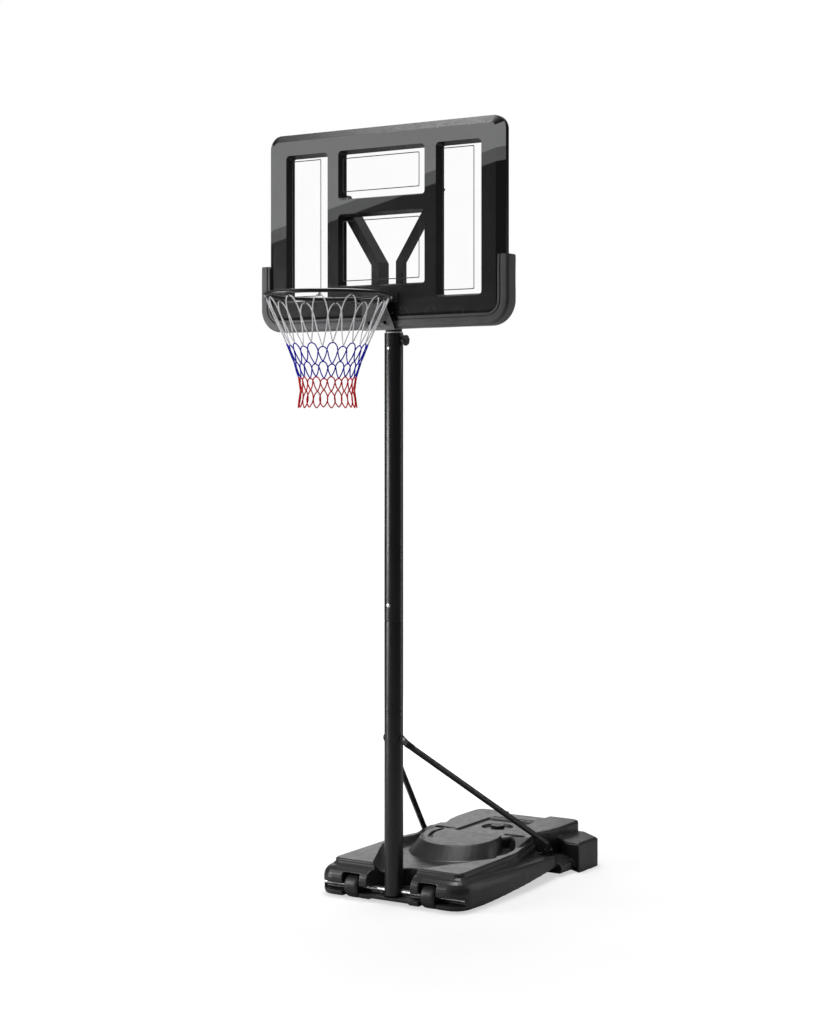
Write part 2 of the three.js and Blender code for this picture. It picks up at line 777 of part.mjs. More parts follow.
// The lock: a boss on the pole's right side, a stud through it and a lobed knob on the stud's end.
function addLock() {
  const { height, radius, inner, outer, lobes } = KNOB;
  const boss = bar([POLE.radius - 1, 0, height], [inner - 1.5, 0, height], 12, 20);
  const poleFace = solid(pipe(0.01, POLE.radius + GAP, height - 30, height + 30));
  addMesh("knob_boss", cut(solid(boss), [poleFace, crossHole("X", height, M10.hole)]), blackPaint);
  const stud = bar([INNER_POLE.radius + GAP, 0, height], [outer - 6, 0, height], M10.shank, 16);
  addMesh("lock_stud", stud, brightSteel);
  const profile = [
    [M10.shank + GAP, inner],
    [13, inner],
    [radius, inner + 4],
    [radius, outer - 3],
    [radius - 3, outer],
    [M10.shank + GAP, outer],
  ];
  const body = solid(turnedOnX(profile).translate(0, 0, height));
  const crown = solid(bar([outer - 5, 0, height], [outer - 0.2, 0, height], 9, 16));
  const flutes = [];
  for (let i = 0; i < lobes; i += 1) {
    const angle = (i / lobes) * Math.PI * 2;
    const y = Math.cos(angle) * (radius + 3);
    const z = height + Math.sin(angle) * (radius + 3);
    flutes.push(solid(bar([inner - 1, y, z], [outer + 1, y, z], 5.5, 8)));
  }
  addMesh("lock_knob", cut(body.add(crown), flutes), blackPlastic);
}

// A strut: a round tube whose two ends are pressed flat and drilled.
function makeStrut(sign) {
  const { radius, topZ, footX, footY, footZ, tab, tabWidth } = STRUT;
  const topX = POLE.radius + GAP + tab / 2;
  const along = new THREE.Vector3(0, footY, footZ - topZ).normalize();
  const across = new THREE.Vector3(0, -along.z, along.y);
  const top = new THREE.Vector3(topX, 0, topZ);
  const foot = new THREE.Vector3(footX, footY, footZ);
  // Stations along the strut: distance from the nearer bolt, thickness and width of the section.
  const flat = [tab / 2, tabWidth / 2];
  const round = [radius, radius];
  const stations = [
    [top, -15, [tab / 2, 6]],
    [top, -11, [tab / 2, 12]],
    [top, -4, flat],
    [top, 34, flat],
    [top, 62, [radius * 0.7, radius * 1.15]],
    [top, 84, round],
    [foot, -84, round],
    [foot, -62, [radius * 0.7, radius * 1.15]],
    [foot, -34, flat],
    [foot, 4, flat],
    [foot, 11, [tab / 2, 12]],
    [foot, 15, [tab / 2, 6]],
  ].map(([from, distance, size]) => ({ centre: from.clone().addScaledVector(along, distance), size }));
  for (const station of stations) station.centre.x += station.size[0] - tab / 2;
  const last = stations.length - 1;
  const surface = (u, v, target) => {
    const at = v * (last + 2) - 1;
    const index = Math.min(Math.max(Math.round(at), 0), last);
    const { centre, size } = stations[index];
    const open = at < -0.5 || at > last + 0.5 ? 0 : 1;
    const angle = u * Math.PI * 2;
    target.copy(centre);
    target.addScaledVector(across, Math.cos(angle) * size[1] * open);
    target.x += Math.sin(angle) * size[0] * open;
  };
  const body = solid(new ParametricGeometry(surface, 16, last + 2));
  const holes = [top, foot].map((centre) =>
    solid(bar([centre.x - 30, centre.y, centre.z], [centre.x + 30, centre.y, centre.z], M8.hole, 10)),
  );
  const right = cut(body, holes);
  return sign > 0 ? right : solid(mirrored(geometryOf(right)));
}

function addStruts() {
  const { topZ, footX, footY, footZ, tab } = STRUT;
  for (const { name, sign } of SIDES) {
    addMesh(`strut_${name}`, makeStrut(sign), blackPaint);
    const direction = sign > 0 ? "+X" : "-X";
    const inward = sign > 0 ? "-X" : "+X";
    const seat = footX + tab / 2 + GAP;
    addMesh(
      `strut_foot_bolt_${name}`,
      bolt(domeHead(10, 6), direction, [sign * seat, footY, footZ], M8.shank, 32),
      brightSteel,
    );
    const nutSeat = [sign * (STRUT.lugInner - GAP), footY, footZ];
    addMesh(`strut_foot_nut_${name}`, nut(M8, inward, nutSeat), brightSteel);
  }
  const seat = POLE.radius + tab + 2 * GAP;
  const length = 2 * seat + 9;
  addMesh("strut_top_bolt", hexBolt(M8, "-X", [-seat, 0, topZ], length), brightSteel);
  addMesh("strut_top_nut", nut(M8, "+X", [seat, 0, topZ]), brightSteel);
}

function addPole() {
  addMesh("pole_lower", makePoleLower(), blackPaint);
  addMesh("pole_upper", makePoleUpper(), blackPaint);
  addMesh("pole_bush", makePoleBush(), whiteNylon);
  addMesh("pole_inner", makePoleInner(), blackPaint);
  addMesh("pole_inner_cap", makeInnerCap(), blackPlastic);
  const seat = POLE.radius + GAP;
  const length = 2 * seat + 10;
  const jointBolt = bolt(domeHead(9, 5), "-Y", [0, -seat, JOINT_BOLT_HEIGHT], M8.shank, length);
  addMesh("joint_bolt", jointBolt, brightSteel);
  addMesh("joint_nut", nut(M8, "+Y", [0, seat, JOINT_BOLT_HEIGHT]), brightSteel);
  addMesh("bush_screw", bolt(domeHead(8, 4), "-Y", [0, -seat, BUSH.screwHeight], 2.5, 4.2), brightSteel);
  addLock();
  addStruts();
}

// ---------- backboard ----------

function boardOutline(inset) {
  const { halfWidth, bottom, top, cornerRadius } = BOARD;
  const half = halfWidth - inset;
  return roundedBox(-half, half, bottom + inset, top - inset, Math.max(cornerRadius - inset, 6));
}

function windowOutline({ x, z, width, height }, grow) {
  const halfWidth = width / 2 + grow;
  const halfHeight = height / 2 + grow;
  const radius = Math.max(WINDOW_CORNER + grow, 4);
  return roundedBox(x - halfWidth, x + halfWidth, z - halfHeight, z + halfHeight, radius);
}

// A board-shaped slab whose front edge is chamfered; `inset` shrinks it all round.
function chamferedSlab(inset, front, back) {
  const bevel = {
    bevelEnabled: true,
    bevelThickness: BOARD.chamferDepth,
    bevelSize: BOARD.faceInset,
    bevelSegments: 1,
    curveSegments: 5,
  };
  const slab = frontPrism(boardOutline(BOARD.faceInset + inset), front + BOARD.chamferDepth, back, bevel);
  const keep = block(-700, 700, front - 1, back, 2000, 3400);
  return solid(slab).intersect(solid(keep));
}

// A window's cutter: its walls draw in towards the back.
function windowCutter(pane) {
  const depth = BOARD.back - BOARD.front;
  const bevel = {
    bevelEnabled: true,
    bevelThickness: depth,
    bevelSize: WINDOW_DRAFT,
    bevelSegments: 1,
    curveSegments: 3,
  };
  return solid(frontPrism(windowOutline(pane, -WINDOW_DRAFT), BOARD.front - 12, BOARD.front, bevel));
}

// Screw bosses in the frame: behind the rim's plate and at the tips of the two arms.
const ARM_TIPS = SIDES.map(({ sign }) => ({ x: sign * BRACKET.endX, z: BRACKET.endZ }));
const BOSSES = [...RIM_BOLTS, ...ARM_TIPS];

// Stiffening ribs across the hollow back of the frame, as [x, z, width, height].
function backRibs() {
  const { top, bottom } = BOARD;
  const ribs = [];
  for (const x of [-360, -120, 120, 360]) {
    ribs.push([x, top - 40, 3, 90], [x, bottom + 45, 3, 100]);
  }
  for (const z of [2530, 2700, 2960]) {
    ribs.push([-510, z, 100, 3], [510, z, 100, 3], [-231, z, 50, 3], [231, z, 50, 3]);
  }
  ribs.push([0, 2811, 3, 60]);
  return ribs.map(([x, z, width, height]) =>
    solid(block(x - width / 2, x + width / 2, BOARD.front, BOARD.back + 1, z - height / 2, z + height / 2)),
  );
}

function makeBoardFrame() {
  const { front, back, skin } = BOARD;
  const bosses = BOSSES.map(({ x, z }) => solid(bar([x, front, z], [x, back + 1, z], 13, 12)));
  const walls = WINDOWS.map((pane) => solid(frontPrism(windowOutline(pane, skin), front, back + 1, COARSE)));
  const hollow = cut(chamferedSlab(skin, front + skin, back + 1), [...walls, ...backRibs(), ...bosses]);
  const through = RIM_BOLTS.map(({ x, z }) => bar([x, front - 5, z], [x, back + 5, z], M8.hole, 8));
  const blind = ARM_TIPS.map(({ x, z }) => bar([x, front + 12, z], [x, back + 5, z], M8.hole, 8));
  const holes = [...through, ...blind].map(solid);
  return cut(chamferedSlab(0, front, back), [...WINDOWS.map(windowCutter), hollow, ...holes]);
}

function makePanel() {
  const { halfWidth, bottom, top, cornerRadius, front, thickness } = PANEL;
  const shape = roundedBox(-halfWidth, halfWidth, bottom, top, cornerRadius);
  const holes = RIM_BOLTS.map(({ x, z }) => solid(bar([x, front - 5, z], [x, front + 9, z], M8.hole, 8)));
  return cut(solid(frontPrism(shape, front, front + thickness)), holes);
}

// The soft edge pad: a U-shaped channel round the board's bottom and lower sides.
function makeEdgePad() {
  const { halfWidth, bottom, top, cornerRadius, front, back, lip, notchHalfWidth } = PAD;
  const edge = 6;
  const half = halfWidth - edge;
  const skinShape = roundedBox(-half, half, bottom + edge, top - edge, 8, cornerRadius - edge);
  const body = solid(frontPrism(skinShape, front + edge, back - edge, rounded(edge, 1, 8)));
  const cavity = roundedBox(
    -BOARD.halfWidth - GAP,
    BOARD.halfWidth + GAP,
    BOARD.bottom - GAP,
    top + 200,
    20,
    BOARD.cornerRadius,
  );
  const inner = halfWidth - lip;
  const mouth = roundedBox(-inner, inner, bottom + lip, top + 200, 20, 52);
  const notchBottom = RIM_PLATE.bottom - 1;
  const notch = block(-notchHalfWidth, notchHalfWidth, front - 2, PANEL.front, notchBottom, bottom + lip + 2);
  return cut(body, [
    solid(frontPrism(cavity, PANEL.front - GAP, BOARD.back + GAP)),
    solid(frontPrism(mouth, front - 5, back + 5)),
    solid(notch),
  ]);
}

function addBoard() {
  addMesh("backboard_frame", makeBoardFrame(), blackPlastic);
  addMesh("backboard_panel", makePanel(), clearSheet);
  addMesh("edge_pad", makeEdgePad(), greyPad);
}

// ---------- board brackets ----------

// A steel angle that stands beside the inner pole, then splays outwards across the board's back.
function makeBracket() {
  const { web, sheet, flange, rear, bottom, bend, endX, endZ } = BRACKET;
  const face = BOARD.back + GAP;
  const flangeMiddle = web + flange / 2;
  const slope = Math.atan2(endX - flangeMiddle, endZ - bend);
  const reach = (endZ - bend) / Math.cos(slope) + 20;
  const tilt = (geometry) =>
    geometry.translate(-flangeMiddle, 0, -bend).rotateY(slope).translate(flangeMiddle, 0, bend);
  const corner = flange / 2 * Math.tan(slope / 2);
  const straight = [
    block(web, web + sheet, face, rear, bottom, bend + corner),
    block(web, web + flange, face, face + sheet, bottom, bend + corner),
  ];
  const arm = [
    tilt(block(web, web + sheet, face, rear, bend - corner, bend + reach)),
    tilt(block(web, web + flange, face, face + sheet, bend - corner, bend + reach)),
  ];
  const holes = [
    ...CROSS_BOLTS.map(({ z }) => bar([20, 0, z], [60, 0, z], M10.hole, 10)),
    ...RIM_BOLTS.filter(({ x }) => x > 0).map(({ x, z }) => bar([x, -70, z], [x, -30, z], M8.hole, 8)),
    bar([endX, -70, endZ], [endX, -30, endZ], M8.hole, 8),
  ];
  return cut(join([...straight, ...arm].map(solid)), holes.map(solid));
}

function addBrackets() {
  const right = makeBracket();
  const { web, sheet, endX, endZ } = BRACKET;
  addMesh("bracket_right", right, blackPaint);
  addMesh("bracket_left", solid(mirrored(geometryOf(right))), blackPaint);
  for (const { row, z } of CROSS_BOLTS) {
    const seat = web + sheet + GAP;
    addMesh(`cross_bolt_${row}`, hexBolt(M10, "-X", [-seat, 0, z], 2 * seat + 10), brightSteel);
    addMesh(`cross_nut_${row}`, nut(M10, "+X", [seat, 0, z]), brightSteel);
    for (const { name, sign } of SIDES) {
      const near = INNER_POLE.radius + GAP;
      const far = web - GAP;
      const spacer = turnedOnX([[M10.hole, near], [9, near], [9, far], [M10.hole, far]], 12);
      const placed = sign > 0 ? spacer : mirrored(spacer);
      addMesh(`cross_spacer_${row}_${name}`, placed.translate(0, 0, z), whiteNylon);
    }
  }
  const back = BOARD.back + GAP + sheet + GAP;
  for (const { name, sign } of SIDES) {
    addMesh(`arm_bolt_${name}`, hexBolt(M8, "+Y", [sign * endX, back, endZ], 32), brightSteel);
  }
}

// ---------- rim and net ----------

// A wire hook under the ring that holds one loop of the net.
function netHook(angle) {
  const drop = 11;
  const wire = 2.2;
  const start = new THREE.Vector3(0, -7, -4);
  const path = new THREE.CatmullRomCurve3([
    start,
    new THREE.Vector3(0, -8, -drop),
    new THREE.Vector3(0, 0, -drop - 7),
    new THREE.Vector3(0, 9, -drop - 3),
  ]);
  const corners = [];
  for (let i = 0; i < 5; i += 1) {
    const at = (i / 5) * Math.PI * 2;
    corners.push([wire * Math.cos(at), wire * Math.sin(at)]);
  }
  const section = outline(corners);
  const hook = new THREE.ExtrudeGeometry(section, { steps: 4, extrudePath: path, bevelEnabled: false });
  const turnBy = angle + Math.PI / 2;
  return hook
    .rotateZ(turnBy)
    .translate(Math.cos(angle) * (RIM.radius - 3), Math.sin(angle) * (RIM.radius - 3), 0);
}

function makeRimRing() {
  const ring = solid(new THREE.TorusGeometry(RIM.radius, RIM.bar, 8, 44));
  const hooks = [];
  for (let i = 0; i < RIM.hooks; i += 1) {
    const angle = -Math.PI / 2 + (i / RIM.hooks) * Math.PI * 2;
    hooks.push(solid(netHook(angle)));
  }
  return geometryOf(join([ring, ...hooks])).translate(0, RIM.y, RIM.height);
}

// The folded steel bracket behind the ring: a back plate, a shelf under the ring and a sloping apron.
function makeRimBracket() {
  const { halfWidth, bottom, top, back, thickness } = RIM_PLATE;
  const front = back - thickness;
  const shelfTop = RIM.height - RIM.bar - GAP;
  const ringRear = RIM.y + RIM.radius;
  const shelfPlan = [
    [-halfWidth + 6, front + 1],
    [-62, ringRear - 22],
    [62, ringRear - 22],
    [halfWidth - 6, front + 1],
  ];
  const shelf = planPrism(outline(shelfPlan), shelfTop - thickness, shelfTop);
  const apronTopY = -150;
  const apronBottomY = PAD.front - GAP - thickness - 2;
  const apronBottomZ = PAD.bottom - 5;
  const corners = (y, z, half) => [
    new THREE.Vector3(-half, y, z),
    new THREE.Vector3(half, y, z),
    new THREE.Vector3(-half, y + thickness, z),
    new THREE.Vector3(half, y + thickness, z),
  ];
  const apron = new ConvexGeometry([
    ...corners(apronTopY, shelfTop - 1, 52),
    ...corners(apronBottomY, apronBottomZ, 79),
  ]);
  const gussetSide = [
    [front + 1, bottom + 24],
    [front + 1, shelfTop - 1],
    [apronTopY + 2, shelfTop - 1],
    [apronBottomY + 8, bottom + 24],
  ];
  const gussets = SIDES.map(({ sign }) =>
    sidePrism(outline(gussetSide), sign * 50 - thickness / 2, sign * 50 + thickness / 2),
  );
  const foot = block(-79, 79, apronBottomY, apronBottomY + 18, apronBottomZ - 1, apronBottomZ + 2.5);
  const plate = frontPrism(roundedBox(-halfWidth, halfWidth, bottom, top, 10), front, back);
  const body = join([plate, shelf, apron, foot, ...gussets].map(solid));
  const boltHoles = RIM_BOLTS.map(({ x, z }) => solid(bar([x, front - 30, z], [x, back + 5, z], M8.hole, 8)));
  const rearHook = solid(block(-9, 9, ringRear - 30, ringRear + 12, shelfTop - 10, shelfTop + 10));
  const accessHoles = [-37, 37].map((x) => solid(bar([x, -160, 2336], [x, front - 1, 2336], 8, 14)));
  const headRoom = RIM_BOLTS.map(({ x, z }) => solid(bar([x, front - 12, z], [x, front, z], 10.5, 12)));
  return cut(body, [...boltHoles, ...accessHoles, ...headRoom, rearHook]);
}

// The radius of the net at a height, from the rim down to its open hem.
function netRadius(z) {
  const points = [
    [NET.top, 222],
    [2330, 190],
    [2235, 155],
    [2165, 130],
    [2108, 112],
    [2058, 104],
    [2026, 105],
    [NET.bottom, 113],
  ];
  const upper = points.findIndex(([height]) => height <= z);
  if (upper <= 0) return points[0][1];
  const [z0, r0] = points[upper - 1];
  const [z1, r1] = points[upper];
  return r0 + ((z - z0) / (z1 - z0)) * (r1 - r0);
}

function makeNet() {
  const levels = 8;
  const outside = [];
  const inside = [];
  for (let i = 0; i <= levels; i += 1) {
    const z = NET.bottom + (i / levels) * (NET.top - NET.bottom);
    outside.push([netRadius(z), z]);
    inside.unshift([netRadius(z) - NET.wall, z]);
  }
  return turned([...outside, ...inside], 26).translate(0, RIM.y, 0);
}

function addRim() {
  addMesh("rim_ring", makeRimRing(), blackPaint);
  addMesh("rim_bracket", makeRimBracket(), blackPaint);
  addMesh("net", makeNet(), netCord);
  const front = RIM_PLATE.back - RIM_PLATE.thickness - GAP;
  const rear = BOARD.back + BRACKET.sheet + 2 * GAP;
  for (const { side, row, x, z } of RIM_BOLTS) {
    const name = `${row}_${side}`;
    addMesh(`rim_bolt_${name}`, hexBolt(M8, "-Y", [x, front, z], rear - front + 9), brightSteel);
    addMesh(`rim_nut_${name}`, nut(M8, "+Y", [x, rear, z]), brightSteel);
  }
}

// ---------- assembly ----------

addBase();
addPole();
addBoard();
addBrackets();
addRim();

export default hoop;
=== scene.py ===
"""The looks of the portable basketball hoop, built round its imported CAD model. Lengths are in metres."""

import math

import bmesh
import bpy
from mathutils import Matrix, Vector, noise


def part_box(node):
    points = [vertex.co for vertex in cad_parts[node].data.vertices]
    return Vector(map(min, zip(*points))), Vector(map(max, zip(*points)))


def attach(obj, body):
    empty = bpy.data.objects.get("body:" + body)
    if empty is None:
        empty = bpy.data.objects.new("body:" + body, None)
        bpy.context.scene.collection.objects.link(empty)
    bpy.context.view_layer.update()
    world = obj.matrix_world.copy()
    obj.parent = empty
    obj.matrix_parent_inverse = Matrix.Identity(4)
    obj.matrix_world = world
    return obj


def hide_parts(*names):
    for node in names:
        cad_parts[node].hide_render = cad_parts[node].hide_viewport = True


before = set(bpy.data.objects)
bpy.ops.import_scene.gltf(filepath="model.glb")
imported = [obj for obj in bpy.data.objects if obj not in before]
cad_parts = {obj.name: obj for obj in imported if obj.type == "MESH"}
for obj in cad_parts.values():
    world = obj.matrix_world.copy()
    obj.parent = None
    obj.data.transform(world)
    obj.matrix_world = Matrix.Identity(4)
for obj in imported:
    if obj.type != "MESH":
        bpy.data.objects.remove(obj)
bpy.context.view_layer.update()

MM = 0.001
TURN = 2 * math.pi
BASE_BODY = "base_assembly"
HOOP_BODY = "hoop_assembly"


def middle(node):
    low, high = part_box(node)
    return (low + high) / 2


POLE_AXIS = middle("pole_lower")
RIM_LOW, RIM_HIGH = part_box("rim_ring")
RIM_BAR = 8 * MM
RIM_RADIUS = (RIM_HIGH.x - RIM_LOW.x) / 2 - RIM_BAR
RIM_CENTRE = Vector((0, RIM_LOW.y + RIM_RADIUS + RIM_BAR, RIM_HIGH.z - RIM_BAR))
HOOKS = 12


# ---------- materials ----------


class Nodes:
    """A node tree, with a short call for each kind of node that is used here."""

    def __init__(self, tree, output, place):
        self.tree = tree
        self.tree.nodes.clear()
        self.output = self.add(output)
        self.place = self.add("ShaderNodeTexCoord").outputs[place]

    def add(self, kind, settings=None, inputs=None):
        node = self.tree.nodes.new(kind)
        for key, value in (settings or {}).items():
            setattr(node, key, value)
        for key, value in (inputs or {}).items():
            self.feed(node.inputs[key], value)
        return node

    def feed(self, socket, value):
        if isinstance(value, bpy.types.NodeSocket):
            self.tree.links.new(value, socket)
        else:
            socket.default_value = value

    def sum(self, operation, *values):
        node = self.add("ShaderNodeMath", {"operation": operation})
        for socket, value in zip(node.inputs, values):
            self.feed(socket, value)
        return node.outputs[0]

    def noise(self, scale, detail=3.0, roughness=0.5):
        inputs = {"Vector": self.place, "Scale": scale, "Detail": detail, "Roughness": roughness}
        return self.add("ShaderNodeTexNoise", None, inputs).outputs["Fac"]

    def cells(self, scale):
        inputs = {"Vector": self.place, "Scale": scale}
        return self.add("ShaderNodeTexVoronoi", None, inputs).outputs["Distance"]

    def spread(self, value, low, high, from_low=0.3, from_high=0.7):
        """Maps a noise value to the range from low to high."""
        inputs = {"Value": value, "From Min": from_low, "From Max": from_high, "To Min": low, "To Max": high}
        return self.add("ShaderNodeMapRange", None, inputs).outputs[0]

    def mix(self, factor, first, second):
        node = self.add("ShaderNodeMix", {"data_type": "RGBA"})
        self.feed(node.inputs[0], factor)
        self.feed(node.inputs[6], first)
        self.feed(node.inputs[7], second)
        return node.outputs[2]

    def bump(self, height, strength, distance, normal=None):
        inputs = {"Height": height, "Strength": strength, "Distance": distance}
        if normal is not None:
            inputs["Normal"] = normal
        return self.add("ShaderNodeBump", None, inputs).outputs[0]

    def split(self):
        return self.add("ShaderNodeSeparateXYZ", None, {"Vector": self.place}).outputs

    def join(self, factor, first, second):
        """A blend of two shaders."""
        return self.add("ShaderNodeMixShader", None, {0: factor, 1: first, 2: second}).outputs[0]

    def shader(self, kind, **inputs):
        named = {key.replace("_", " "): value for key, value in inputs.items()}
        return self.add(kind, None, named).outputs[0]

    def finish(self, shader):
        self.tree.links.new(shader, self.output.inputs["Surface"])


class Shader(Nodes):
    """The nodes of a new material. Patterns follow the object's own coordinates."""

    def __init__(self, name):
        self.material = bpy.data.materials.new(name)
        self.material.use_nodes = True
        super().__init__(self.material.node_tree, "ShaderNodeOutputMaterial", "Object")

    def surface(self, **inputs):
        self.finish(self.shader("ShaderNodeBsdfPrincipled", **inputs))
        return self.material

    def raised_edges(self, low, high):
        """Near 1 on edges that stand proud of the surface, near 0 elsewhere."""
        pointed = self.add("ShaderNodeNewGeometry").outputs["Pointiness"]
        return self.spread(pointed, 0.0, 1.0, low, high)

    def facing_up(self):
        normal = self.add("ShaderNodeNewGeometry").outputs["Normal"]
        split = self.add("ShaderNodeSeparateXYZ", None, {"Vector": normal})
        return self.spread(split.outputs["Z"], 0.0, 1.0, 0.3, 1.0)


def grey(value, blue=1.0):
    return (value, value, value * blue, 1.0)


def moulded_plastic(name, tone, grain, roughness=0.42, wave=0.0, specular=0.5, wear=0.0):
    """Satin black plastic with a fine moulded grain, faint dust on level faces and rubbed edges."""
    s = Shader(name)
    broad = s.noise(5.0, 4.0, 0.6)
    clouded = s.mix(s.spread(broad, 0.0, 1.0), grey(tone * 0.85, 1.05), grey(tone * 1.25, 1.04))
    dust = s.sum("MULTIPLY", s.facing_up(), s.spread(s.noise(23.0, 6.0, 0.65), 0.0, 0.35, 0.42, 0.72))
    rubbed = s.mix(dust, clouded, grey(tone * 2.4, 0.97))
    if wear:
        rubbed = s.mix(s.sum("MULTIPLY", s.raised_edges(0.53, 0.62), wear), rubbed, grey(tone * 3.0))
    rough = s.spread(s.noise(38.0, 5.0, 0.6), roughness - 0.06, roughness + 0.06)
    fine = s.bump(s.noise(grain, 2.0, 0.6), 0.22, 0.35 * MM)
    if wave:
        fine = s.bump(s.noise(9.0, 2.0, 0.4), 0.5, wave, fine)
    return s.surface(Base_Color=rubbed, Roughness=rough, Normal=fine, Specular_IOR_Level=specular)


def powder_coat(name, tone, roughness):
    """Black powder coat: orange peel, a few paler specks and slightly uneven gloss."""
    s = Shader(name)
    specks = s.spread(s.noise(420.0, 2.0, 0.7), 0.0, 1.0, 0.6, 0.75)
    colour = s.mix(specks, grey(tone, 1.05), grey(tone * 2.4, 1.05))
    rough = s.spread(s.noise(14.0, 4.0, 0.6), roughness - 0.05, roughness + 0.08)
    peel = s.bump(s.noise(260.0, 3.0, 0.55), 0.28, 0.25 * MM)
    return s.surface(Base_Color=colour, Roughness=rough, Normal=peel, Coat_Weight=0.15, Coat_Roughness=0.25)


def zinc_plate(name):
    """Bright plated steel with a soft spangle and fine turning marks."""
    s = Shader(name)
    spangle = s.cells(260.0)
    colour = s.mix(s.spread(spangle, 0.0, 1.0, 0.0, 0.8), (0.60, 0.62, 0.65, 1), (0.80, 0.81, 0.82, 1))
    dull = s.mix(s.spread(s.noise(90.0, 5.0), 0.0, 0.5, 0.5, 0.75), colour, (0.46, 0.46, 0.45, 1))
    rough = s.spread(s.noise(160.0, 5.0, 0.7), 0.2, 0.42)
    marks = s.bump(s.noise(700.0, 3.0, 0.6), 0.18, 0.15 * MM)
    return s.surface(Base_Color=dull, Metallic=1.0, Roughness=rough, Normal=marks)


def foam_skin(name):
    """The pad's dark-grey skin: fine pores, faint creases and a dull sheen."""
    s = Shader(name)
    patch = s.mix(s.spread(s.noise(11.0, 4.0, 0.6), 0.0, 1.0), grey(0.100, 1.04), grey(0.135, 1.03))
    pores = s.cells(900.0)
    darker = s.mix(s.spread(pores, 0.0, 0.35, 0.55, 0.9), patch, grey(0.06))
    rough = s.spread(s.noise(60.0, 5.0, 0.6), 0.46, 0.62)
    creased = s.bump(s.noise(30.0, 5.0, 0.6), 0.35, 0.8 * MM)
    skin = s.bump(pores, 0.2, 0.3 * MM, creased)
    return s.surface(Base_Color=darker, Roughness=rough, Normal=skin, Sheen_Weight=0.08, Sheen_Roughness=0.5)


def plain_moulding(name, colour, roughness):
    """Small mouldings: white nylon and black rubber, slightly mottled."""
    s = Shader(name)
    stained = tuple(value * 0.8 for value in colour[:3]) + (1.0,)
    mottled = s.mix(s.spread(s.noise(70.0, 5.0, 0.6), 0.0, 1.0), colour, stained)
    rough = s.spread(s.noise(130.0, 4.0), roughness - 0.06, roughness + 0.06)
    fine = s.bump(s.noise(800.0, 3.0), 0.2, 0.2 * MM)
    return s.surface(Base_Color=mottled, Roughness=rough, Normal=fine)


def net_cord(name, colour):
    """Braided nylon cord with fibre noise; a faint glow stands for the light that thin nylon passes on."""
    s = Shader(name)
    deep = tuple(value * 0.62 for value in colour) + (1.0,)
    fibres = s.noise(1500.0, 4.0, 0.7)
    shade = s.mix(s.spread(fibres, 0.0, 1.0), deep, tuple(colour) + (1.0,))
    rough = s.spread(s.noise(300.0, 3.0), 0.6, 0.85)
    fuzz = s.bump(fibres, 0.5, 0.3 * MM)
    return s.surface(
        Base_Color=shade,
        Roughness=rough,
        Normal=fuzz,
        Emission_Color=shade,
        Emission_Strength=0.24,
        Specular_IOR_Level=0.2,
    )


def printed_ink(name):
    s = Shader(name)
    worn = s.mix(s.spread(s.noise(300.0, 4.0), 0.0, 1.0, 0.45, 0.7), grey(0.008), grey(0.03))
    rough = s.spread(s.noise(500.0, 3.0), 0.4, 0.6)
    return s.surface(Base_Color=worn, Roughness=rough)


def clear_sheet(name):
    """Clear glossy sheet with faint smears; it all but vanishes where nothing dark is behind it."""
    s = Shader(name)
    rough = s.spread(s.noise(18.0, 4.0), 0.03, 0.09)
    waves = s.bump(s.noise(3.0, 2.0), 0.2, 0.4 * MM)
    smears = s.spread(s.noise(6.0, 5.0, 0.65), 0.010, 0.022)
    clear = s.shader("ShaderNodeBsdfTransparent", Color=grey(1.0))
    gloss = s.shader("ShaderNodeBsdfGlossy", Color=grey(1.0), Roughness=rough, Normal=waves)
    s.finish(s.join(smears, clear, gloss))
    return s.material


# Fixed diagonal strips of glow on the board's face. They stand for light reflected in it, and don't move with
# the view. The glow drops below each height, given for X = 0; the strips rise with X by the slope.
SHEEN_SLOPE = 0.2445
SHEEN_TOP = 0.170
SHEEN_BLUR = 0.5 * MM
SHEEN_WOBBLE = 8 * MM
SHEEN_STEPS = [(2.8675, 0.092), (2.8150, 0.074)]


def board_plastic(name):
    """Black moulded plastic whose front face carries the diagonal strips of glow, a painted reflection."""
    s = Shader(name)
    x, _, z = s.split()
    wobble = s.sum("MULTIPLY", s.sum("SUBTRACT", s.noise(2.2, 2.0), 0.5), SHEEN_WOBBLE)
    level = s.sum("ADD", s.sum("SUBTRACT", z, s.sum("MULTIPLY", x, SHEEN_SLOPE)), wobble)
    shine = SHEEN_TOP
    for height, drop in SHEEN_STEPS:
        lost = s.spread(level, drop, 0.0, height - SHEEN_BLUR, height + SHEEN_BLUR)
        shine = s.sum("SUBTRACT", shine, lost)
    # The smears only make the painted reflection a little uneven.
    smears = s.spread(s.noise(6.0, 5.0, 0.65), 0.94, 1.04)
    normal = s.add("ShaderNodeNewGeometry").outputs["Normal"]
    _, depth, rise = s.add("ShaderNodeSeparateXYZ", None, {"Vector": normal}).outputs
    facing = s.sum("MULTIPLY", s.sum("LESS_THAN", depth, -0.7), s.sum("LESS_THAN", rise, 0.3))
    glow = s.sum("MULTIPLY", s.sum("MULTIPLY", shine, smears), facing)
    tone = s.mix(s.spread(s.noise(5.0, 4.0, 0.6), 0.0, 1.0), grey(0.0055), grey(0.008, 1.04))
    rough = s.spread(s.noise(38.0, 5.0, 0.6), 0.36, 0.48)
    fine = s.bump(s.noise(900.0, 2.0, 0.6), 0.2, 0.3 * MM)
    return s.surface(
        Base_Color=tone,
        Roughness=rough,
        Normal=fine,
        Specular_IOR_Level=0.25,
        Emission_Color=(0.98, 0.99, 1.0, 1),
        Emission_Strength=glow,
    )


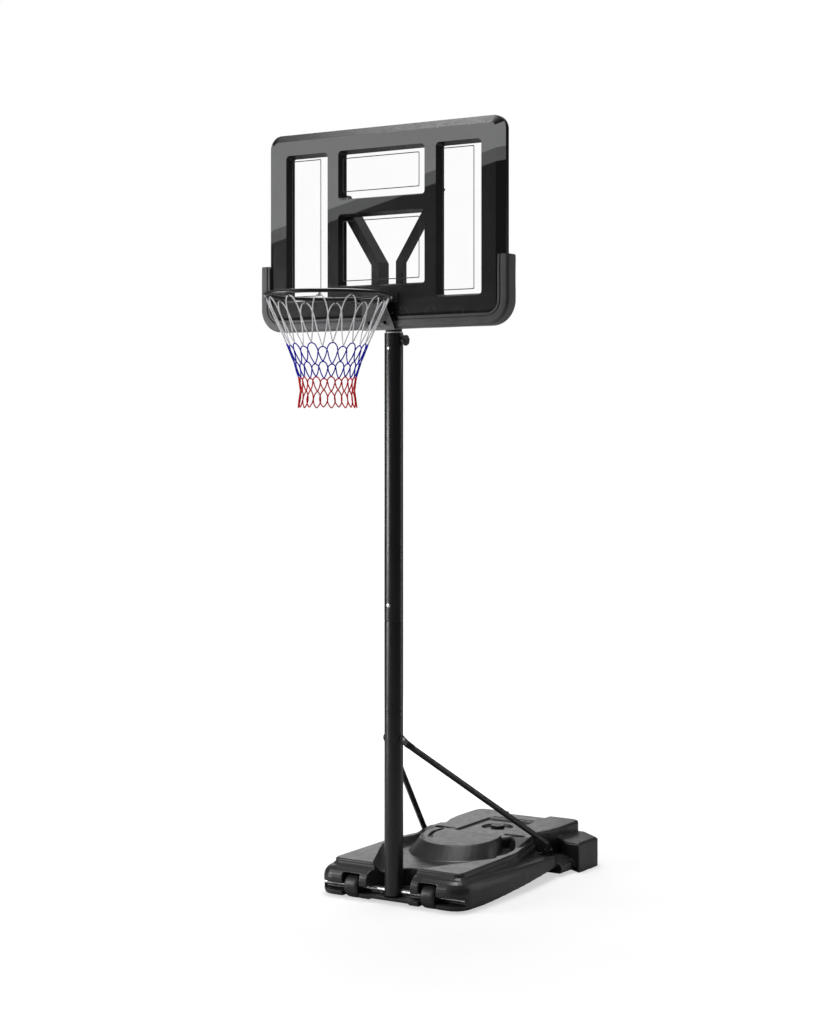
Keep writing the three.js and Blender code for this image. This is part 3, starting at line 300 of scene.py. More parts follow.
def floor_surface(name):
    """A pale floor that glows to the camera, more with distance, to meet the white background."""
    s = Shader(name)
    tone = s.mix(s.spread(s.noise(1.5, 3.0), 0.0, 1.0), grey(0.42), grey(0.45))
    distance = s.add("ShaderNodeVectorMath", {"operation": "LENGTH"}, {0: s.place}).outputs["Value"]
    camera_ray = s.add("ShaderNodeLightPath").outputs["Is Camera Ray"]
    glow = s.sum("MULTIPLY", camera_ray, s.spread(distance, 0.58, 0.96, 0.8, 4.0))
    return s.surface(
        Base_Color=tone,
        Roughness=0.8,
        Specular_IOR_Level=0.1,
        Emission_Color=grey(1.0),
        Emission_Strength=glow,
    )


MATERIALS = {
    "base_plastic": moulded_plastic("base_plastic", 0.016, 700.0, 0.36, 0.5 * MM, 0.5, 0.4),
    "frame_plastic": board_plastic("frame_plastic"),
    "small_black": moulded_plastic("small_black", 0.014, 1200.0, 0.42),
    "black_paint": powder_coat("black_paint", 0.011, 0.3),
    "bright_steel": zinc_plate("bright_steel"),
    "pad_foam": foam_skin("pad_foam"),
    "clear_sheet": clear_sheet("clear_sheet"),
    "seal_rubber": plain_moulding("seal_rubber", grey(0.02), 0.75),
    "nylon": plain_moulding("nylon", (0.82, 0.82, 0.79, 1), 0.45),
    "net_white": net_cord("net_white", (0.80, 0.80, 0.82)),
    "net_blue": net_cord("net_blue", (0.006, 0.006, 0.42)),
    "net_red": net_cord("net_red", (0.62, 0.003, 0.010)),
    "printed_ink": printed_ink("printed_ink"),
}


# ---------- shapes ----------


def rounded(corners, steps=4):
    """A closed outline whose corners, given as (a, b, radius), are eased into curves."""
    points = [Vector((a, b)) for a, b, _ in corners]
    eased = []
    for i, (_, _, radius) in enumerate(corners):
        corner = points[i]
        back = points[i - 1] - corner
        ahead = points[(i + 1) % len(points)] - corner
        start = corner + back.normalized() * min(radius, back.length * 0.48)
        end = corner + ahead.normalized() * min(radius, ahead.length * 0.48)
        if radius <= 0:
            eased.append(corner)
            continue
        for k in range(steps + 1):
            t = k / steps
            eased.append(start * (1 - t) ** 2 + corner * 2 * t * (1 - t) + end * t**2)
    return eased


# Points of a mesh that are closer than this become one.
SAME_POINT = 1e-7


class Solid:
    """Points and faces gathered into one closed mesh."""

    def __init__(self):
        self.points = []
        self.faces = []
        self.finishes = []

    def skin(self, rings, loop=False, finish=0):
        """Joins a row of equal rings of points. A row that isn't a loop gets a face at each end."""
        start = len(self.points)
        size = len(rings[0])
        count = len(rings)
        for ring in rings:
            self.points.extend(ring)
        before = len(self.faces)
        for i in range(count if loop else count - 1):
            here = start + i * size
            there = start + ((i + 1) % count) * size
            for j in range(size):
                k = (j + 1) % size
                self.faces.append((here + j, here + k, there + k, there + j))
        if not loop:
            self.faces.append(tuple(start + j for j in reversed(range(size))))
            self.faces.append(tuple(start + (count - 1) * size + j for j in range(size)))
        self.finishes.extend([finish] * (len(self.faces) - before))

    def mesh(self, name):
        mesh = bpy.data.meshes.new(name)
        mesh.from_pydata([tuple(point) for point in self.points], [], self.faces)
        mesh.polygons.foreach_set("material_index", self.finishes)
        work = bmesh.new()
        work.from_mesh(mesh)
        bmesh.ops.remove_doubles(work, verts=work.verts, dist=SAME_POINT)
        bmesh.ops.recalc_face_normals(work, faces=work.faces)
        work.to_mesh(mesh)
        work.free()
        return mesh


def show(name, mesh, body, slot, stands_for=(), materials=None, sharp=40):
    """Adds a finished mesh as a piece on a body, standing for CAD nodes."""
    for finish in materials or [slot]:
        mesh.materials.append(MATERIALS[finish])
    mesh.polygons.foreach_set("use_smooth", [True] * len(mesh.polygons))
    mesh.set_sharp_from_angle(angle=math.radians(sharp))
    piece = bpy.data.objects.new(name, mesh)
    bpy.context.scene.collection.objects.link(piece)
    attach(piece, body)
    if stands_for:
        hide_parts(*stands_for)
    return piece


def turned(solid, profile, centre, axis="X", segments=96):
    """Turns a closed outline of (radius, along) points about an axis through `centre`."""
    rings = []
    for i in range(segments):
        angle = TURN * i / segments
        across, up = math.cos(angle), math.sin(angle)
        if axis == "X":
            ring = [centre + Vector((along, radius * across, radius * up)) for radius, along in profile]
        else:
            ring = [centre + Vector((radius * across, radius * up, along)) for radius, along in profile]
        rings.append(ring)
    solid.skin(rings, loop=True)


def carried(path, section, twist=0.0, loop=False):
    """Rings of a flat section carried along a path. `twist` is in radians per metre."""
    count = len(path)
    side = None
    length = 0.0
    rings = []
    for i, point in enumerate(path):
        ahead = path[(i + 1) % count] if loop or i + 1 < count else point
        back = path[i - 1] if loop or i > 0 else point
        tangent = (ahead - back).normalized()
        if side is None:
            side = tangent.orthogonal().normalized()
        side = (side - tangent * side.dot(tangent)).normalized()
        up = tangent.cross(side)
        turn = Matrix.Rotation(twist * length, 2)
        rings.append([point + side * q.x + up * q.y for q in (turn @ p for p in section)])
        length += (ahead - point).length if i + 1 < count else 0.0
    return rings


def circle(radius, segments):
    points = []
    for i in range(segments):
        angle = TURN * i / segments
        points.append(Vector((math.cos(angle), math.sin(angle))) * radius)
    return points


def curve_through(points, steps):
    """A smooth path through points, by Catmull-Rom interpolation."""
    path = []
    last = len(points) - 1
    for i in range(last):
        p0, p1, p2, p3 = points[max(i - 1, 0)], points[i], points[i + 1], points[min(i + 2, last)]
        for k in range(steps):
            t = k / steps
            path.append(
                0.5 * (p1 * 2 + (p2 - p0) * t + (p0 * 2 - p1 * 5 + p2 * 4 - p3) * t**2)
                + 0.5 * (p1 * 3 - p0 - p2 * 3 + p3) * t**3
            )
    path.append(points[last])
    return path


def around(angle, radius, height):
    """A point beside the rim's axis. Angle 0 is the court side; height is from the ring's centre."""
    return RIM_CENTRE + Vector((math.sin(angle) * radius, -math.cos(angle) * radius, height))


# ---------- CAD nodes that stay ----------

EDGES = {
    "frame_plastic": ["backboard_frame"],
    "black_paint": ["knob_boss", "bracket_left", "bracket_right", "rim_bracket"],
    "small_black": ["filler_cap"],
    "seal_rubber": ["cap_seal"],
    "clear_sheet": ["backboard_panel"],
    "bright_steel": ["lock_stud", "bush_screw"],
}
EDGE_WIDTH = {"backboard_frame": 1.6 * MM, "rim_bracket": 0.9 * MM, "backboard_panel": 0.5 * MM}
USUAL_EDGE_WIDTH = 0.4 * MM
WELD_DISTANCE = 0.01 * MM
FLAT_WITHIN = math.radians(0.5)
EDGE_ANGLE = math.radians(32)

# Pieces whose flat faces are notched or pierced keep the CAD's facets.
NOTCHED = ["bracket_left", "bracket_right", "rim_bracket"]


def soften(node, slot):
    """Welds a CAD node, merges flat faces and rounds edges, with modifiers. Its own mesh stays as it is."""
    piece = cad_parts[node]
    piece.data.materials.clear()
    piece.data.materials.append(MATERIALS[slot])
    own_normals = piece.data.attributes.get("custom_normal")
    if own_normals:
        piece.data.attributes.remove(own_normals)
    piece.data.polygons.foreach_set("use_smooth", [True] * len(piece.data.polygons))
    weld = piece.modifiers.new("weld", "WELD")
    weld.merge_threshold = WELD_DISTANCE
    if node not in NOTCHED:
        flat = piece.modifiers.new("flat_faces", "DECIMATE")
        flat.decimate_type = "DISSOLVE"
        flat.angle_limit = FLAT_WITHIN
    bevel = piece.modifiers.new("edges", "BEVEL")
    bevel.width = EDGE_WIDTH.get(node, USUAL_EDGE_WIDTH)
    bevel.segments = 2
    bevel.limit_method = "ANGLE"
    bevel.angle_limit = EDGE_ANGLE
    bevel.harden_normals = True


def finish_cad_nodes():
    for slot, nodes in EDGES.items():
        for node in nodes:
            soften(node, slot)
    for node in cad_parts:
        if "spacer" in node:
            soften(node, "nylon")
        elif "strut_foot" in node:
            soften(node, "black_paint")
        elif "bolt" in node or "nut" in node:
            soften(node, "bright_steel")


# ---------- base ----------


def final_mesh(piece):
    """The piece's mesh with its modifiers applied, in place of the one it had."""
    ready = piece.evaluated_get(bpy.context.evaluated_depsgraph_get())
    mesh = bpy.data.meshes.new_from_object(ready)
    piece.modifiers.clear()
    piece.data = mesh
    return mesh


TANK_VOXEL = 3 * MM
TANK_FACES_KEPT = 0.3
# The cup under the filler neck: radii, and depths below the seal.
WELL = {"outer": 0.032, "inner": 0.024, "top": 0.006, "floor": 0.03, "underside": 0.046}


def filler_well():
    """A cup under the filler neck, open at the top, that shuts the tank's inside off from the neck."""
    neck = middle("cap_seal")
    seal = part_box("cap_seal")[0].z
    cup = [
        (0.0, seal - WELL["underside"]),
        (WELL["outer"], seal - WELL["underside"]),
        (WELL["outer"], seal - WELL["top"]),
        (WELL["inner"], seal - WELL["top"]),
        (WELL["inner"], seal - WELL["floor"]),
        (0.0, seal - WELL["floor"]),
    ]
    well = Solid()
    turned(well, cup, Vector((neck.x, neck.y, 0)), "Z", 48)
    return well.mesh("filler_well")


def ballast_tank():
    """The blow-moulded tank: the CAD shape remeshed and relaxed, so that every edge has a soft roll."""
    work = bmesh.new()
    work.from_mesh(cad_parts["base_tank"].data)
    bmesh.ops.remove_doubles(work, verts=work.verts, dist=WELD_DISTANCE)
    mesh = bpy.data.meshes.new("ballast_tank")
    work.to_mesh(mesh)
    work.free()
    both = bmesh.new()
    both.from_mesh(mesh)
    both.from_mesh(filler_well())
    both.to_mesh(mesh)
    both.free()
    piece = bpy.data.objects.new("remesh", mesh)
    bpy.context.scene.collection.objects.link(piece)
    remesh = piece.modifiers.new("voxels", "REMESH")
    remesh.mode = "VOXEL"
    remesh.voxel_size = TANK_VOXEL
    relax = piece.modifiers.new("relax", "SMOOTH")
    relax.factor = 0.5
    relax.iterations = 1
    fewer = piece.modifiers.new("fewer", "DECIMATE")
    fewer.ratio = TANK_FACES_KEPT
    ready = final_mesh(piece)
    bpy.data.objects.remove(piece)
    ready.name = "ballast_tank"
    ready.materials.clear()
    show("ballast_tank", ready, BASE_BODY, "base_plastic", ["base_tank"], sharp=180)


WHEEL_BORE = 8.4 * MM


def wheels():
    """Two moulded wheels with a dished web on each side and a slightly crowned tread."""
    low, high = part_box("wheel_right")
    radius = (high.z - low.z) / 2
    half = (high.x - low.x) / 2
    # One side, from the bore to the tread: radius, distance in from the hub's end, ease.
    side_face = [
        (WHEEL_BORE, 0.0, 0.5 * MM),
        (17 * MM, 0.0, 1.5 * MM),
        (18 * MM, 10 * MM, 2 * MM),
        (35 * MM, 10 * MM, 2 * MM),
        (36 * MM, 1 * MM, 1.5 * MM),
        (radius - 6 * MM, 1 * MM, 5 * MM),
        (radius - 0.6 * MM, 10 * MM, 6 * MM),
    ]
    profile = [(reach, inset - half, ease) for reach, inset, ease in side_face]
    profile.append((radius, 0.0, 20 * MM))
    profile += [(reach, half - inset, ease) for reach, inset, ease in reversed(side_face)]
    for side in ("left", "right"):
        node = f"wheel_{side}"
        wheel = Solid()
        turned(wheel, rounded(profile), middle(node))
        show(f"wheel_{side}_moulding", wheel.mesh(node), node, "small_black", [node])


def axle():
    low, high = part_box("axle_rod")
    radius = (high.z - low.z) / 2
    half = (high.x - low.x) / 2
    rod = Solid()
    profile = [(0.0, -half, 0.0), (radius, -half, 1.2 * MM), (radius, half, 1.2 * MM), (0.0, half, 0.0)]
    turned(rod, rounded(profile), middle("axle_rod"), "X", 48)
    show("axle", rod.mesh("axle"), BASE_BODY, "bright_steel", ["axle_rod"])


# ---------- pole ----------


STRUT_RADIUS = 12.5 * MM
STRUT_TAB = 3.2 * MM
STRUT_TAB_WIDTH = 32 * MM
STRUT_SEGMENTS = 40
# Along a strut from its bolt, in mm: where the flat end stops, and how long the tube takes to become round.
STRUT_FLAT_END = 34
STRUT_OPENING = 50


def pressed(t, flat):
    """The half sizes of a strut's section as it opens from its flat end to the round tube."""
    ease = t * t * (3 - 2 * t)
    return flat[0] + (STRUT_RADIUS - flat[0]) * ease, flat[1] + (STRUT_RADIUS - flat[1]) * ease


def strut_shapes():
    """One end of a strut: distance from the bolt in mm, and the section's half thickness and half width."""
    thin = STRUT_TAB / 2
    flat = (thin, STRUT_TAB_WIDTH / 2)
    shapes = [(-15.5, (thin, 3 * MM)), (-14.5, (thin, 8 * MM)), (-11.5, (thin, 12 * MM))]
    shapes += [(-6, (thin, 15.2 * MM)), (0, flat), (STRUT_FLAT_END, flat)]
    for t in (0.1, 0.2, 0.35, 0.5, 0.65, 0.8, 0.92, 1.0):
        shapes.append((STRUT_FLAT_END + STRUT_OPENING * t, pressed(t, flat)))
    return shapes


def strut_ring(centre, across, thick, wide):
    """The section's outline: round for the tube, squarer where it is pressed."""
    squared = 1.0 if thick >= STRUT_RADIUS * 0.98 else 0.82
    ring = []
    for i in range(STRUT_SEGMENTS):
        angle = TURN * i / STRUT_SEGMENTS
        c, s = math.cos(angle), math.sin(angle)
        ring.append(
            centre
            + across * math.copysign(abs(c) ** squared, c) * wide
            + Vector((math.copysign(abs(s) ** squared, s) * thick, 0, 0))
        )
    return ring


def struts():
    """Round tubes pressed flat at both ends for their bolts. The left one is a right one mirrored."""
    shapes = strut_shapes()
    for side, sign in (("left", -1), ("right", 1)):
        foot = middle(f"strut_foot_bolt_{side}")
        low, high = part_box(f"strut_{side}")
        inner = low.x if sign > 0 else -high.x
        outer = high.x if sign > 0 else -low.x
        top = Vector((inner + STRUT_TAB / 2, POLE_AXIS.y, middle("strut_top_bolt").z))
        foot = Vector((outer - 2 * STRUT_RADIUS + STRUT_TAB / 2, foot.y, foot.z))
        along = Vector((0, foot.y - top.y, foot.z - top.z)).normalized()
        across = Vector((0, -along.z, along.y))
        ends = [(top, distance * MM, size) for distance, size in shapes]
        ends += [(foot, -distance * MM, size) for distance, size in reversed(shapes)]
        rings = []
        for start, distance, (thick, wide) in ends:
            centre = start + along * distance
            centre.x += thick - STRUT_TAB / 2
            ring = strut_ring(centre, across, thick, wide)
            rings.append([Vector((sign * p.x, p.y, p.z)) for p in ring])
        tube = Solid()
        tube.skin(rings)
        show(f"strut_{side}_tube", tube.mesh(f"strut_{side}"), BASE_BODY, "black_paint", [f"strut_{side}"])


def upright(name, node, body, slot, profile):
    """A round piece on the pole's axis, turned from (radius, height, ease) corners."""
    tube = Solid()
    turned(tube, rounded(profile), Vector((POLE_AXIS.x, POLE_AXIS.y, 0)), "Z")
    show(name, tube.mesh(name), body, slot, [node])


OUTER_WALL = 1.5 * MM
INNER_WALL = 2 * MM
FIT = 0.3 * MM
BUSH_INSIDE = 33.8 * MM
BUSH_OUTSIDE = 36.2 * MM
BUSH_FLANGE = 5 * MM
CAP_HEAD = 4.7 * MM


def outer_pole():
    """Two sections with a necked joint. Their walls have no bolt holes, unlike the CAD's."""
    wall = OUTER_WALL
    low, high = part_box("pole_lower")
    radius = high.x - POLE_AXIS.x
    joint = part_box("pole_upper")[0].z
    neck = radius - wall - FIT
    lower = [
        (radius - wall, low.z, 0.3 * MM),
        (radius, low.z, 0.5 * MM),
        (radius, joint - 4 * MM, 2 * MM),
        (neck, joint - FIT, 1.5 * MM),
        (neck, high.z, 0.4 * MM),
        (neck - wall, high.z, 0.4 * MM),
        (neck - wall, joint, 1 * MM),
        (radius - wall, joint - 7 * MM, 1 * MM),
    ]
    upright("pole_lower_tube", "pole_lower", BASE_BODY, "black_paint", lower)
    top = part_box("pole_upper")[1].z
    upper = [
        (radius - wall, joint, 0.3 * MM),
        (radius, joint, 1.2 * MM),
        (radius, top, 1.2 * MM),
        (radius - wall, top, 0.3 * MM),
    ]
    upright("pole_upper_tube", "pole_upper", BASE_BODY, "black_paint", upper)


def pole_bush():
    """The white sleeve in the outer pole's top, with a flange as wide as the pole."""
    low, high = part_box("pole_bush")
    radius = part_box("pole_lower")[1].x - POLE_AXIS.x
    flange = high.z - BUSH_FLANGE
    bush = [
        (BUSH_INSIDE, low.z, 0.5 * MM),
        (BUSH_OUTSIDE, low.z, 0.5 * MM),
        (BUSH_OUTSIDE, flange, 0.0),
        (radius, flange, 0.4 * MM),
        (radius, high.z, 2 * MM),
        (BUSH_INSIDE, high.z, 1 * MM),
    ]
    upright("pole_bush_moulding", "pole_bush", BASE_BODY, "nylon", bush)


def inner_pole():
    """The telescoping tube and the plug in its top."""
    low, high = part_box("pole_inner")
    inner = high.x - POLE_AXIS.x
    bore = inner - INNER_WALL
    tube = [
        (bore, low.z, 0.3 * MM),
        (inner, low.z, 0.6 * MM),
        (inner, high.z, 0.6 * MM),
        (bore, high.z, 0.3 * MM),
    ]
    upright("pole_inner_tube", "pole_inner", HOOP_BODY, "black_paint", tube)
    low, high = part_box("pole_inner_cap")
    shoulder = high.z - CAP_HEAD
    plug = bore - FIT
    cap = [
        (0.0, low.z, 0.0),
        (plug, low.z, 1 * MM),
        (plug, shoulder, 0.0),
        (inner, shoulder, 0.5 * MM),
        (inner, high.z, 4 * MM),
        (0.0, high.z, 0.0),
    ]
    upright("pole_inner_cap_moulding", "pole_inner_cap", HOOP_BODY, "small_black", cap)


KNOB_LOBES = 7
KNOB_LOBE_STEPS = 18
# The dips between lobes: their depth as a share of the radius, their shape, the share of the radius where
# they begin and how fast they deepen from there.
KNOB_DIP = 0.13
KNOB_DIP_CURVE = 1.5
KNOB_DIP_FROM = 0.5
KNOB_DIP_RATE = 2.5
# The knob's side view: share of its depth, outward from the pole, and share of its radius.
KNOB_FLANK = [(0.0, 0.56), (0.0, 0.62), (0.06, 0.72), (0.2, 0.92), (0.3, 0.985), (0.5, 1.0)]
KNOB_CROWN = [(0.76, 0.985), (0.88, 0.95), (0.96, 0.89), (1.0, 0.8), (1.0, 0.5), (0.965, 0.44), (0.965, 0.0)]


def lock_knob():
    """The seven-lobed hand knob, with a rounded rim and a shallow dish in its face."""
    low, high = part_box("lock_knob")
    centre = middle("lock_knob")
    radius = (high.z - low.z) / 2
    depth = high.x - low.x
    segments = KNOB_LOBES * KNOB_LOBE_STEPS
    rings = []
    for share, size in KNOB_FLANK + KNOB_CROWN:
        dip_share = min(1.0, max(0.0, (size - KNOB_DIP_FROM) * KNOB_DIP_RATE))
        ring = []
        for i in range(segments):
            angle = TURN * i / segments
            dip = max(0.0, math.cos(angle * KNOB_LOBES)) ** KNOB_DIP_CURVE * KNOB_DIP * dip_share
            reach = radius * size * (1 - dip)
            x = low.x + share * depth
            ring.append(Vector((x, centre.y + math.sin(angle) * reach, centre.z + math.cos(angle) * reach)))
        rings.append(ring)
    knob = Solid()
    knob.skin(rings)
    show("lock_knob_moulding", knob.mesh("lock_knob"), "lock_knob", "small_black", ["lock_knob"], sharp=50)


# ---------- board ----------

PAD_LOW, PAD_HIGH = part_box("edge_pad")
PAD_CORNER = 98 * MM
# The point of the pad's section that its end rings are drawn in towards, and the share they keep.
PAD_MIDDLE_ACROSS = 24 * MM
PAD_MIDDLE_DEEP = 33.5 * MM
PAD_END = 0.965
PAD_SWELL = 0.9 * MM
PAD_SIDE_STEPS = 16
PAD_ARC_STEPS = 24
PAD_BOTTOM_STEPS = 90
PAD_PROFILE = [
    # Distance in from the pad's outer edge, depth behind its front face, ease of that corner, all in mm.
    (0.0, 10.0, 2.5),
    (4.5, 7.5, 1.0),
    (8.0, 0.8, 2.5),
    (33.0, 0.6, 2.0),
    (36.0, 6.0, 1.2),
    (39.5, 1.0, 1.8),
    (48.0, 1.2, 3.2),
    (48.0, 7.1, 1.0),
    (28.2, 7.1, 0.5),
    (28.2, 59.5, 0.5),
    (48.0, 59.5, 1.0),
    (48.0, 67.5, 4.0),
    (0.0, 67.5, 8.0),
]


def pad_path():
    """Stations down one side, along the bottom and up the other: a point and its inward direction."""
    half = PAD_HIGH.x
    top = PAD_HIGH.z
    bottom = PAD_LOW.z
    turn_x = half - PAD_CORNER
    turn_z = bottom + PAD_CORNER
    stations = []
    for i in range(PAD_SIDE_STEPS):
        height = top + (turn_z - top) * i / PAD_SIDE_STEPS
        stations.append((Vector((-half, 0, height)), Vector((1, 0, 0))))
    for i in range(PAD_ARC_STEPS + 1):
        angle = math.pi + (math.pi / 2) * i / PAD_ARC_STEPS
        out = Vector((math.cos(angle), 0, math.sin(angle)))
        stations.append((Vector((-turn_x, 0, turn_z)) + out * PAD_CORNER, -out))
    for i in range(1, PAD_BOTTOM_STEPS):
        x = -turn_x + 2 * turn_x * i / PAD_BOTTOM_STEPS
        stations.append((Vector((x, 0, bottom)), Vector((0, 0, 1))))
    mirrored = []
    for point, inward in reversed(stations[: PAD_SIDE_STEPS + PAD_ARC_STEPS + 1]):
        mirrored.append((Vector((-point.x, 0, point.z)), Vector((-inward.x, 0, inward.z))))
    return stations + mirrored


def pad_notch():
    """The block cut out of the pad where the rim's plate passes."""
    low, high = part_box("rim_bracket")
    gap = 1.2 * MM
    front = PAD_LOW.y - 10 * MM
    back = PAD_LOW.y + 7.3 * MM
    corners = [(low.x - gap, front), (high.x + gap, front), (high.x + gap, back), (low.x - gap, back)]
    levels = (PAD_LOW.z + 29 * MM, PAD_LOW.z + 60 * MM)
    notch = Solid()
    notch.skin([[Vector((x, y, z)) for x, y in corners] for z in levels])
    return notch.mesh("notch")


def edge_pad():
    """The firm moulded pad: a grooved channel, slightly uneven, cut away where the rim's plate passes."""
    profile = [point * MM for point in rounded(PAD_PROFILE)]
    rings = []
    stations = pad_path()
    last = len(stations) - 1
    for i, (point, inward) in enumerate(stations):
        end = min(i, last - i)
        close = 1.0 if end > 0 else PAD_END
        ring = []
        for q in profile:
            across = (q.x - PAD_MIDDLE_ACROSS) * close + PAD_MIDDLE_ACROSS
            depth = (q.y - PAD_MIDDLE_DEEP) * close + PAD_MIDDLE_DEEP
            place = point + inward * across + Vector((0, PAD_LOW.y + depth, 0))
            swell = noise.noise(place * 9.0) * PAD_SWELL
            if q.x < 27 * MM:
                place += inward * abs(swell)
            ring.append(place)
        rings.append(ring)
    pad = Solid()
    pad.skin(rings)
    mesh = pad.mesh("edge_pad")
    piece = bpy.data.objects.new("pad", mesh)
    bpy.context.scene.collection.objects.link(piece)
    cutter = bpy.data.objects.new("notch", pad_notch())
    bpy.context.scene.collection.objects.link(cutter)
    cut = piece.modifiers.new("notch", "BOOLEAN")
    cut.object = cutter
    cut.solver = "EXACT"
    ready = final_mesh(piece)
    bpy.data.objects.remove(piece)
    bpy.data.objects.remove(cutter)
    ready.materials.clear()
    show("edge_pad_skin", ready, HOOP_BODY, "pad_foam", ["edge_pad"], sharp=50)


# The board's windows as centre X, centre Z, half width and half height, then how far the printed line is
# set in at left and right, at the top and at the bottom.
WINDOWS = [
    (-0.360, 2.7355, 0.103, 0.3035, 0.031, 0.025, 0.023),
    (0.360, 2.7355, 0.103, 0.3035, 0.031, 0.025, 0.023),
    (0.0, 2.940, 0.205, 0.100, 0.023, 0.031, 0.031),
    (0.0, 2.6345, 0.205, 0.1485, 0.023, 0.028, 0.024),
]
LINE_WIDTH = 3.6 * MM
INK_DEPTH = 0.12 * MM
INK_LIFT = 0.02 * MM


def line_outline(left, bottom, right, top, ease):
    return rounded([(left, bottom, ease), (right, bottom, ease), (right, top, ease), (left, top, ease)])


def window_lines():
    """A thin printed rectangle inside each window, laid on the back of the clear sheet."""
    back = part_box("backboard_panel")[1].y
    line = LINE_WIDTH
    lines = Solid()
    for x, z, half_width, half_height, aside, above, below in WINDOWS:
        a, b = x - half_width + aside, x + half_width - aside
        c, d = z - half_height + below, z + half_height - above
        outer = line_outline(a, c, b, d, 6 * MM)
        inner = line_outline(a + line, c + line, b - line, d - line, 4 * MM)
        rings = []
        for far, near in zip(outer, inner):
            edge = [(far, INK_LIFT), (near, INK_LIFT), (near, INK_DEPTH), (far, INK_DEPTH)]
            rings.append([Vector((p.x, back + depth, p.y)) for p, depth in edge])
        lines.skin(rings, loop=True)
    show("window_lines", lines.mesh("window_lines"), HOOP_BODY, "clear_sheet", (), ["printed_ink"])


# ---------- rim and net ----------

# The hooks and the net are turned a little about the ring's axis from where the CAD's hooks are.
NET_TURN = math.radians(-3.5)
RING_STEPS = 180
HOOK_WIRE = 2.3 * MM
# A hook's path in mm: out from just inside the ring's centre line, and up.
HOOK_PATH = [(-7, -4), (-8.4, -9), (-6, -15), (0, -18), (6, -17), (9, -13)]
HOOK_INSET = 3 * MM


def rim():
    """The round steel ring with its twelve bent net hooks."""
    ring = Solid()
    path = [around(TURN * i / RING_STEPS, RIM_RADIUS, 0) for i in range(RING_STEPS)]
    ring.skin(carried(path, circle(RIM_BAR, 28), loop=True), loop=True)
    wire = circle(HOOK_WIRE, 12)
    for i in range(HOOKS):
        angle = TURN * i / HOOKS + NET_TURN
        points = [around(angle, RIM_RADIUS - HOOK_INSET + out * MM, up * MM) for out, up in HOOK_PATH]
        ring.skin(carried(curve_through(points, 5), wire))
    show("rim", ring.mesh("rim"), HOOP_BODY, "black_paint", ["rim_ring"])


# The net's rows of knots: height from the ring's centre, radius, and offset in steps between hooks.
KNOTS = [
    (-0.0145, 0.2355, 0.0),
    (-0.190, 0.156, 0.5),
    (-0.260, 0.128, 0.0),
    (-0.317, 0.111, 0.5),
    (-0.367, 0.104, 0.0),
]
HEM = (-0.431, 0.113)
NET_FINISHES = ["net_white", "net_blue", "net_red"]
ROW_FINISH = [0, 1, 1, 2, 2]
# The cord's nominal radius, and the twist of its strands in radians per metre.
CORD = 2.6 * MM
LAY = 120.0
CORD_SLACK = 1.5 * MM
# The share of a loop's height that its arch takes, and how late its legs spread.
ARCH_HEIGHT = 0.4
LEG_CURVE = 2.6
HEM_WIDTH = 0.54
HEM_CURVE = 0.72
LONG_LOOP_STEPS = 44
SHORT_LOOP_STEPS = 22
HEM_LOOP_STEPS = 24
# A knot's wrap reaches this far sideways and outward, in mm.
KNOT_ACROSS = 2.9
KNOT_OUT = 2.6
KNOT_WIRE = 1.0 * MM
KNOT_TURNS = 2.2
KNOT_STEPS = 22
KNOT_HEIGHT = 4 * MM


def strand_section():
    """The cord's section: three strands laid together."""
    points = []
    count = 12
    for i in range(count):
        angle = TURN * i / count
        lobe = 0.95 + 0.07 * math.cos(3 * angle)
        points.append(Vector((math.cos(angle), math.sin(angle))) * CORD * lobe)
    return points


def loop_width(share):
    """Half a loop's width as a share of the half step between knots: an arch, then legs that spread."""
    arch = math.sqrt(1 - (1 - min(share / ARCH_HEIGHT, 1)) ** 2)
    return 0.5 * arch + 0.5 * share**LEG_CURVE


def hem_width(share):
    """The same for a hem loop, which closes at the bottom."""
    return HEM_WIDTH * math.sin(math.pi * share) ** HEM_CURVE


def cord(net, row, index, start, end, width, steps):
    """A loop's cord, up one leg and down the other. `width` gives its half width at each height."""
    top_z, top_r, offset = start
    low_z, low_r = end
    path = []
    for k in range(-steps, steps + 1):
        share = (1 - math.cos(math.pi * abs(k) / steps)) / 2
        side = math.copysign(width(share), k)
        angle = TURN * (index + offset + side * 0.5) / HOOKS + NET_TURN
        slack = noise.noise(Vector((index * 3.1, row * 1.7, k * 0.08))) * CORD_SLACK
        radius = top_r + (low_r - top_r) * share + slack * math.sin(math.pi * share)
        path.append(around(angle, radius, top_z + (low_z - top_z) * share))
    net.skin(carried(path, strand_section(), twist=LAY), finish=ROW_FINISH[row])


def knot(net, centre, out, finish):
    """A small wrapped knot where cords meet."""
    side = Vector((0, 0, 1)).cross(out).normalized()
    path = []
    for k in range(KNOT_STEPS + 1):
        t = k / KNOT_STEPS
        angle = TURN * KNOT_TURNS * t
        wrap = side * math.cos(angle) * KNOT_ACROSS * MM + out * math.sin(angle) * KNOT_OUT * MM
        path.append(centre + wrap + Vector((0, 0, (t - 0.5) * KNOT_HEIGHT)))
    net.skin(carried(path, circle(KNOT_WIRE, 8)), finish=finish)


def net():
    """Twelve loops a row, knotted, in three bands of colour, with a hem of closed loops."""
    cords = Solid()
    last = len(KNOTS) - 1
    for row, start in enumerate(KNOTS):
        for i in range(HOOKS):
            if row < last:
                steps = SHORT_LOOP_STEPS if row else LONG_LOOP_STEPS
                cord(cords, row, i, start, KNOTS[row + 1][:2], loop_width, steps)
            else:
                cord(cords, row, i, start, HEM, hem_width, HEM_LOOP_STEPS)
            if row:
                angle = TURN * (i + start[2]) / HOOKS + NET_TURN
                out = Vector((math.sin(angle), -math.cos(angle), 0))
                knot(cords, around(angle, start[1], start[0]), out, ROW_FINISH[row])
    show("net_cords", cords.mesh("net"), HOOP_BODY, "net_cord", ["net"], NET_FINISHES, sharp=180)


# ---------- studio ----------

FLOOR_REACH = 300.0


